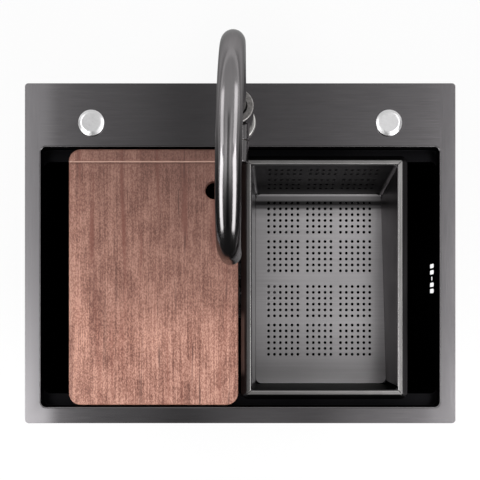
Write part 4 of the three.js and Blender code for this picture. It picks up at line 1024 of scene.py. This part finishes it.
def aeratorHousing():
    bore, low, top = tap["aerator"]
    radius, wall = tap["spout"]
    profile = [(bore, low, 0.2), (radius, low, 1.0), (radius, top), (radius - wall, top), (bore, top - wall)]
    return move(turned("aerator_sleeve", profile, 40, hollow=True), outletPlace)


# The black insert: a rim and a recessed web of fine rings
def aeratorInsert():
    radius, low, top = tap["insert"]
    ridge, valley = low + 0.9, low + 1.5
    profile = [(0, low + 1.2), (1.2, ridge, 0.3)]
    for r in tap["web"]:
        profile += [(r - 0.5, valley), (r - 0.3, ridge), (r + 0.3, ridge), (r + 0.5, valley)]
    profile += [(6.9, valley), (7.1, low, 0.3), (radius, low, 0.7), (radius, top, 0.4), (0, top)]
    return move(turned("aerator_core", profile, 40), outletPlace)


# The cap that holds the lever. Its lower half is cut back so that it can tip towards the user.
def handleCap():
    radius, start, end, ease = tap["handle"]
    wide, high, deep = tap["stem"]
    slotHigh, slotDeep = tap["mouth"]
    reach, seat, _, foot, _ = tap["lever"]
    grubReach, grubRadius, grubFrom = tap["grub"]
    shell = rod("handle_head", radius, start, end, 60, 0.5, ease, 5)
    wedge = roundedBlock("wedge", (-35, -40, -40), (35, 0, 0), 0.5, 0.1)
    move(wedge, shift(0, 0, start) @ turn(-tap["tilt"], "X"))
    holes = []
    for half, far in ((high / 2, deep), (slotHigh, start + slotDeep)):
        ends = (-wide / 2, -half, start - beyond), (wide / 2, half, far)
        holes.append(roundedBlock("stemHole", *ends, 0.4, 0.1))
    socket = rod("leverHole", foot + tap["clear"], 0, 25, 32)
    holes.append(move(socket, shift(0, seat - tap["clear"], reach) @ turn(-90, "X")))
    holes.append(move(rod("grubHole", grubRadius, 0, 25, 24), shift(0, grubFrom, grubReach) @ turn(90, "X")))
    return move(carve(shell, wedge, *holes), valvePlace)


def handleLever():
    reach, seat, tip, foot, head = tap["lever"]
    low, swell = seat + tap["clear"], seat + 16
    profile = [(0, low), (foot, low), (foot, swell)]
    profile += [(foot + (head - foot) * k / 6, swell + (tip - 2 - swell) * k / 6) for k in range(1, 7)]
    profile += [(head, tip, tap["leverEase"]), (0, tip)]
    return move(turned("handle_rod", profile, 32), tapPlace @ shift(0, -reach, tap["valveZ"]))


tapMetal, tapCollar = tapFinish(), collarFinish()
# The flange is the tap's metal painted paler, as a painted highlight on its lit top
flangeLitMetal = metalFinish("flangeLitMetal", (0.50, 0.49, 0.47), (0.62, 0.61, 0.59), 0.30)
fit(tapFlange(), "sink", flangeLitMetal, "tap_metal", "tap_flange")
fit(tapBody(), "sink", tapMetal, "tap_metal", "tap_body")
fit(spoutCollar(), "spout", tapCollar, "tap_metal", "spout_collar")
fit(spoutTube(), "spout", tapMetal, "tap_metal", "spout")
fit(aeratorHousing(), "spout", tapMetal, "tap_metal", "aerator_housing")
fit(aeratorInsert(), "spout", blackPlastic, "black_plastic", "aerator_insert")
fit(handleCap(), "handle", tapMetal, "tap_metal", "handle_cap")
fit(handleLever(), "handle", tapMetal, "tap_metal", "handle_lever")
print("tap made")


# Waste

waste = {
    "x": 0, "y": 182.9, "flange": (56.5, 44, -218.2, -219.7), "cup": (43.5, 42), "mouth": 2,
    "floor": -266.2, "rise": 4, "neck": (24, 22.5), "neckEnd": -288.2,
    "port": (7, 5.5, -250, 63.5), "portStart": (41, 20),
    "nut": (43.9, 53, -236.3, -224.3), "nutLugs": (6, 7, 12),
}
wastePlace = shift(waste["x"], waste["y"], 0)


def strainerCup():
    edge, mouth, top, under = waste["flange"]
    outer, inner = waste["cup"]
    neck, bore = waste["neck"]
    floor, slope, end = waste["floor"], waste["floor"] + waste["rise"], waste["neckEnd"]
    brim = top - waste["mouth"]
    profile = [
        (edge - 2, top, 1.5), (edge, top - 0.75, 0.3), (edge, under), (outer, under), (outer, slope, 2.5),
        (neck, floor - 0.5, 1.5), (neck, end), (bore, end), (bore, floor + 1, 1.5), (inner, slope + 1.5, 2.5),
        (inner, brim, 0.6), (mouth, top, 0.6),
    ]
    cup = move(turned("waste_cup", profile, 72, hollow=True), wastePlace)
    across, hollow, level, reach = waste["port"]
    start, within = waste["portStart"]
    portPlace = wastePlace @ shift(0, 0, level) @ turn(90, "Y")
    core = move(rod("core", inner, slope + 8, brim - 2, 72), wastePlace)
    carve(cup, move(rod("spigot", across, start, reach, 32, highEase=0.5), portPlace), way="UNION")
    return carve(cup, core, move(rod("bore", hollow, within, reach + beyond, 32), portPlace))


# The strainer: an open cup with two rows of holes, a rolled rim and a knob. Each row: how many, radius, how
# far out, and where it starts.
strainer = {
    "rim": (42.6, 40.6, -218.8), "low": -252.8, "foot": 36.6, "wall": 1.2,
    "holes": ((8, 2.7, 15.4, 0), (8, 3.6, 27.8, 0.5)), "knob": (-251.3, 6, 2.6, 7.1, 25, 28, 30),
}


def strainerBasket():
    rim, throat, top = strainer["rim"]
    low, foot, wall = strainer["low"], strainer["foot"], strainer["wall"]
    profile = [
        (0, low), (foot, low, 2.5), (throat, top - wall, 0.8), (rim, top - wall), (rim, top, 0.5),
        (throat - wall, top, 0.8), (foot - wall, low + wall, 1.4), (0, low + wall),
    ]
    tools = []
    for count, radius, away, start in strainer["holes"]:
        for i in range(count):
            angle = (i + start) * 2 * math.pi / count
            spot = (away * math.cos(angle), away * math.sin(angle))
            tools.append(prism("hole", circle(radius, 20, spot), low - 2, low + 4))
    cup = turned("strainer_cup", profile, 72)
    return move(carve(cup, together("strainerHoles", *tools)), wastePlace)


def strainerKnob():
    low, foot, stem, head, swell, wide, top = strainer["knob"]
    profile = [
        (0, low), (foot, low, 0.6), (foot, low + 2.0, 0.5), (stem, low + 3.2, 0.8),
        (stem, low + swell - 1.5, 1.2), (head, low + swell + 0.6, 1.4), (head, low + wide - 0.4, 1.6),
        (head - 2.2, low + top, 1.2), (0, low + top),
    ]
    return move(turned("knob", profile, 36), wastePlace)


# The big ring nut, gripped by its lugs
def wasteNut():
    bore, radius, low, top = waste["nut"]
    count, reach, wide = waste["nutLugs"]
    neck = radius - reach
    nut = turned("nut", [(bore, low), (neck, low, 1.0), (neck, top, 1.0), (bore, top)], 72, hollow=True)
    tools = []
    for i in range(count):
        lug = roundedBlock("lug", (neck - 2, -wide / 2, low), (radius, wide / 2, top), 1.5, 1.0)
        tools.append(move(lug, turn(360 / count * i, "Z")))
    return move(carve(nut, *tools, way="UNION"), wastePlace)


tail = {
    "pipe": (20, 17, -350.5, -288.5), "collar": (23.5, 2.6), "nut": (29, 24.2, -297.2, -279.2),
    "nutBore": 20.3, "nutFloor": 6, "ribs": 24, "ribSteps": 6, "ribDepth": 0.9,
}


def tailpiece():
    radius, bore, low, top = tail["pipe"]
    flange, thick = tail["collar"]
    profile = [
        (bore, low), (radius, low, 0.6), (radius, top - thick, 0.8), (flange, top - thick, 0.5),
        (flange, top, 0.5), (bore, top),
    ]
    return move(turned("tail_pipe", profile, 48, hollow=True), wastePlace)


# A ribbed nut: shallow flutes round its edge. Each ring: radius, height and the flutes' depth there.
def tailNut():
    radius, neck, low, top = tail["nut"]
    bore, floor, count = tail["nutBore"], low + tail["nutFloor"], tail["ribs"] * tail["ribSteps"]
    rings = []
    for size, z, depth in (
        (bore, low, 0), (radius - 1.5, low, 0.6), (radius - 0.3, low + 1.2, 1), (radius - 0.3, top - 1.2, 1),
        (radius - 1.5, top, 0.6), (neck, top, 0), (neck, floor, 0), (bore, floor, 0),
    ):
        loop = []
        for i in range(count):
            angle = 2 * math.pi * i / count
            reach = size - tail["ribDepth"] * depth * (0.5 - 0.5 * math.cos(angle * tail["ribs"])) ** 2
            loop.append((reach * math.cos(angle), reach * math.sin(angle)))
        rings.append(raised(loop, z))
    return move(skin("tail_nut_ribbed", rings, loop=True), wastePlace)


# Plain steel painted darker, as painted shade at the bottom of the bowl
drainSteelShaded = metalFinish("drainSteelShaded", (0.15, 0.15, 0.155), (0.24, 0.24, 0.245), 0.30)
fit(strainerCup(), "sink", drainSteelShaded, "plain_steel", "strainer_body")
fit(strainerBasket(), "strainer", drainSteelShaded, "plain_steel", "strainer_basket")
fit(strainerKnob(), "strainer", blackPlastic, "black_plastic", "strainer_knob")
fit(wasteNut(), "sink", blackPlastic, "black_plastic", "strainer_nut")
fit(tailpiece(), "sink", whitePlastic, "white_plastic", "tailpiece")
fit(tailNut(), "sink", whitePlastic, "white_plastic", "tailpiece_nut")
print("waste made")


# Overflow

overflow = {
    "x": (268.1, 270.1, 279.1, 281.1), "flange": (77, 14, 6), "box": (55, 40), "inside": (51, 36), "z": -48,
    "spigot": (275, 7, 5.2, -86), "spigotTop": -66, "boreTop": -60, "pinGap": 0.4,
    "pipe": (8.9, 1.6, -69, -250, 49.5), "pipeBend": 30, "chute": (266.3, 278.5, -64.6, -57.2, 48),
}


# A shallow box on a flange behind the slots, with a spigot for the pipe below it
def overflowHousing():
    near, flangeEnd, inside, far = overflow["x"]
    (wide, high, corner), (boxWide, boxHigh) = overflow["flange"], overflow["box"]
    inWide, inHigh = overflow["inside"]
    spigotX, radius, bore, low = overflow["spigot"]
    middle, level = deck["bowlMiddle"], overflow["z"]

    def ring(x, across, up, radius):
        return [(x, middle + y, level + z) for y, z in roundedLoop(across, up, radius, 5)]

    def facing(loop, low, high, x, y=middle):
        return move(prism("facing", loop, low, high), turn(90, "Y"), shift(x, y, level))

    rings = [ring(near, inWide, inHigh, 3)]
    rings += [ring(x, boxWide, boxHigh, 4) for x in (near, flangeEnd, far - 2.5)]
    rings += [ring(far - 0.7, boxWide - 1.2, boxHigh - 1.2, 3.6)]
    rings += [ring(far, boxWide - 4.5, boxHigh - 4.5, 3), ring(far, 6, 6, 1), ring(inside, 6, 6, 1)]
    rings += [ring(inside, inWide - 3, inHigh - 3, 2), ring(inside - 1.5, inWide, inHigh, 3)]
    shell = skin("overflow_box", rings, loop=True)
    patch = facing(roundedLoop(8, 8, 1, 2), 0, far - inside, inside)
    ear = facing(roundedLoop(high, wide, corner, 6), 0, flangeEnd - near, near)
    window = facing(roundedLoop(inHigh, inWide, 3, 5), -beyond, flangeEnd - near + beyond, near)
    pin = circle(studs["radius"] + overflow["pinGap"], 20)
    carve(ear, window)
    carve(ear, together("pins", *[facing(pin, -beyond, 8, near, y) for y in studs["y"]]))
    down = shift(spigotX, middle, 0)
    spigot = move(rod("spigot", radius, low, overflow["spigotTop"], 32, 0.6), down)
    carve(shell, patch, ear, spigot, way="UNION")
    return carve(shell, move(rod("drainBore", bore, low - beyond, overflow["boreTop"], 32), down))


# A bright plate in the foot of the box that glows as painted light, so that seen from above each slot shows
# white
def overflowGlowPlate():
    left, right, low, high, wide = overflow["chute"]
    front, back = deck["bowlMiddle"] - wide / 2, deck["bowlMiddle"] + wide / 2
    rings = []
    for x, z in ((left, low), (right, high)):
        rings.append([(x, front, z - 1), (x, back, z - 1), (x, back, z), (x, front, z)])
    return skin("overflow_chute", rings)


def overflowPipe():
    radius, wall, top, level, end = overflow["pipe"]
    x, curve = overflow["spigot"][0], overflow["pipeBend"]
    path = [(x, top), (x, (top + level) / 2), (x, level + curve)]
    path += bend((x, level + curve), (x - curve, level), (x - curve, level + curve), 12)[1:]
    path += [(x - curve - (x - curve - end) * k / 4, level) for k in range(1, 5)]
    pipe = planarTube("overflow_tube", path, radius, wall, 36)
    return move(pipe, shift(0, deck["bowlMiddle"], 0) @ turn(-90, "Z"))


# painted light: the plate behind the slots glows
slotGlow = mouldedFinish("slotGlow", (0.90, 0.90, 0.90), (0.96, 0.96, 0.96), 0.36, 0.03, glow=0.9)
fit(overflowHousing(), "sink", whitePlastic, "white_plastic", "overflow_housing")
fit(overflowGlowPlate(), "sink", slotGlow, "white_plastic")
fit(overflowPipe(), "sink", whitePlastic, "white_plastic", "overflow_pipe")
print("overflow made")


# Nodes that keep their own shape get their finish too

finishOfSlot = {
    "deck_steel": deckSteel, "bowl_steel": bowlShadeAndSheen, "basket_steel": basketWall, "tap_metal": tapMetal,
    "bright_chrome": brightChrome, "plain_steel": plainSteel, "brass": brass, "walnut": walnutBoard,
    "rubber": rubber, "white_plastic": whitePlastic, "black_plastic": blackPlastic,
}
for entry in frame["record"]["subparts"]:
    held = frame["nodes"][entry["node"]]
    held.data.materials.clear()
    held.data.materials.append(finishOfSlot[entry["material_slot"]])
print("finishes:", len(bpy.data.materials))


# Camera, light and floor

scene = bpy.context.scene
scene.view_settings.view_transform = "Standard"

view = bpy.data.cameras.new("view")
view.lens, view.sensor_width, view.shift_x, view.shift_y = 62.34, 36, -0.0167, 0.15
scene.camera = link("camera", view)
scene.camera.location = (0.0104, 0.1366, 1.103)

# A studio tent: dim straight above, brighter to the sides, even at the back and dark low in front. Each stop
# is how far a direction points to the right, or to the back, and its brightness or share there.
sky = {
    "middle": ((-0.5, 0.8), (-0.36, 0.8), (-0.27, 0.8), (-0.245, 0.75), (-0.22, 0.52), (-0.195, 0.38),
               (-0.147, 0.32), (-0.11, 0.255), (-0.085, 0.15), (-0.06, 0.13), (-0.035, 0.22), (0.02, 0.24),
               (0.08, 0.28), (0.104, 0.365), (0.128, 0.42), (0.188, 0.50), (0.236, 0.62), (0.26, 0.85),
               (0.36, 1.0), (0.5, 0.8)),
    "front": ((-0.5, 1.0), (-0.36, 1.0), (-0.26, 1.5), (-0.243, 1.5), (-0.231, 0.90), (-0.216, 0.36),
              (-0.195, 0.34), (-0.16, 0.28), (-0.111, 0.26), (-0.098, 0.15), (-0.078, 0.06), (-0.062, 0.10),
              (-0.05, 0.26), (-0.02, 0.32), (0.02, 0.36), (0.05, 0.38), (0.065, 0.20), (0.085, 0.16),
              (0.1, 0.34), (0.12, 0.56), (0.152, 0.62), (0.19, 0.72), (0.212, 1.1), (0.236, 1.4),
              (0.26, 1.4), (0.36, 0.9), (0.5, 0.8)),
    "forward": ((-0.12, 1), (-0.06, 0.7), (0, 0.42), (0.1, 0.22), (0.2, 0.1), (0.25, 0)),
    "along": ((-1, 0.05), (-0.9, 0.1), (-0.78, 0.22), (-0.6, 0.7), (-0.4, 1), (1, 1)),
    "back": 0.65, "behind": (0.28, 0.48), "sides": (0.45, 0.75), "sideDim": 0.6,
    "backdrop": (0.04, 0.12), "backdropAlong": (-0.2, 0.7),
}
white = {"Color": (1, 1, 1, 1), "Strength": 1.0}


# The camera sees plain white, and metal sees it near the horizon towards the back
def tentSky():
    world = bpy.data.worlds.new("tent")
    tent = Finish("tent", world)
    across, along, up = tent.parts(tent.add("ShaderNodeTexCoord", output="Generated"))
    forward = tent.curve(along, -0.15, 0.3, sky["forward"])
    level = tent.curve(across, -0.5, 0.5, sky["middle"]) * (1 - forward)
    level = level + tent.curve(across, -0.5, 0.5, sky["front"]) * forward
    level = level * tent.curve(along, -1, 1, sky["along"])
    behind = along.rise(*sky["behind"])
    level = level * (1 - behind) + sky["back"] * behind
    level = level * (1 - sky["sideDim"] * abs(across).rise(*sky["sides"]) * (1 - behind))
    light = tent.add("ShaderNodeBackground", {}, {"Color": (1, 1, 1, 1), "Strength": level})
    seen, mirrored = tent.rays()
    low = (1 - up.rise(*sky["backdrop"])) * along.rise(*sky["backdropAlong"])
    shares = {0: seen.most(low * mirrored), 1: light, 2: tent.add("ShaderNodeBackground", {}, white)}
    tent.close(tent.add("ShaderNodeMixShader", {}, shares), "ShaderNodeOutputWorld")
    return world


# Two strip lights on each side, a bright one in front and a softer one behind, in metres: Y, Z, length, tilt
# and brightness. Each leans in towards the middle.
strips = {
    "left": -0.9, "right": 0.78, "wide": 0.5, "leanHeight": 0.62,
    "ends": {"front": (-0.5, 0.43, 1.7, 46, 3.8), "back": (0.6, 0.89, 1.0, -18, 1.7)},
}


def addStrip(end, side):
    x, (y, z, long, tilt, bright) = strips[side], strips["ends"][end]
    strip = bpy.data.lights.new("strip_" + end + "_" + side, "AREA")
    strip.shape, strip.size, strip.size_y = "RECTANGLE", strips["wide"], long
    strip.energy = bright * math.pi * strips["wide"] * long
    lamp = link(strip.name, strip)
    inwards = math.degrees(math.atan2(x, strips["leanHeight"]))
    lamp.matrix_world = Matrix.Translation((x, y, z)) @ turn(tilt, "X") @ turn(inwards, "Y")
    lamp.visible_camera = False


floorSize = {"reach": 6000, "z": -352, "underX": (120, 300), "underY": (190, 80, 220), "dim": 0.03}


# A pale floor under the sink: white to the camera, so that only the shadow on it shows. The metal shows it
# too, bright behind the sink and dimmer towards the front.
def groundFinish():
    ground = Finish("ground")
    x, y, _ = ground.axes()
    colour = ground.ramp(ground.speck(6.0), (0, (0.93, 0.93, 0.93)), (1, (0.97, 0.97, 0.97)))
    matt = ground.add("ShaderNodeBsdfDiffuse", {}, {"Color": colour})
    lit = ground.add("ShaderNodeEmission", {}, white)
    dim = ground.add("ShaderNodeEmission", {}, {"Color": (1, 1, 1, 1), "Strength": floorSize["dim"]})
    seen, mirrored = ground.rays()
    middle, near, far = floorSize["underY"]
    outside = abs(x).rise(*floorSize["underX"]).most(abs(y - middle).rise(near, far))
    shown = 0.85 * outside * mirrored.most(seen)
    pale = ground.add("ShaderNodeMixShader", {}, {0: shown, 1: matt, 2: lit})
    bright = y.rise(0, 1300) * (1 - 0.6 * abs(x).rise(400, 2600))
    shares = {0: mirrored * (1 - bright), 1: pale, 2: dim}
    return ground.close(ground.add("ShaderNodeMixShader", {}, shares))


scene.world = tentSky()
for end in strips["ends"]:
    for side in ("left", "right"):
        addStrip(end, side)
reach = floorSize["reach"]
corners = [(-reach, -reach), (reach, -reach), (reach, reach), (-reach, reach)]
floor = addMesh("floor", raised(corners, floorSize["z"]), [(0, 1, 2, 3)])
floor.data.materials.append(groundFinish())
print("camera, light and floor made")
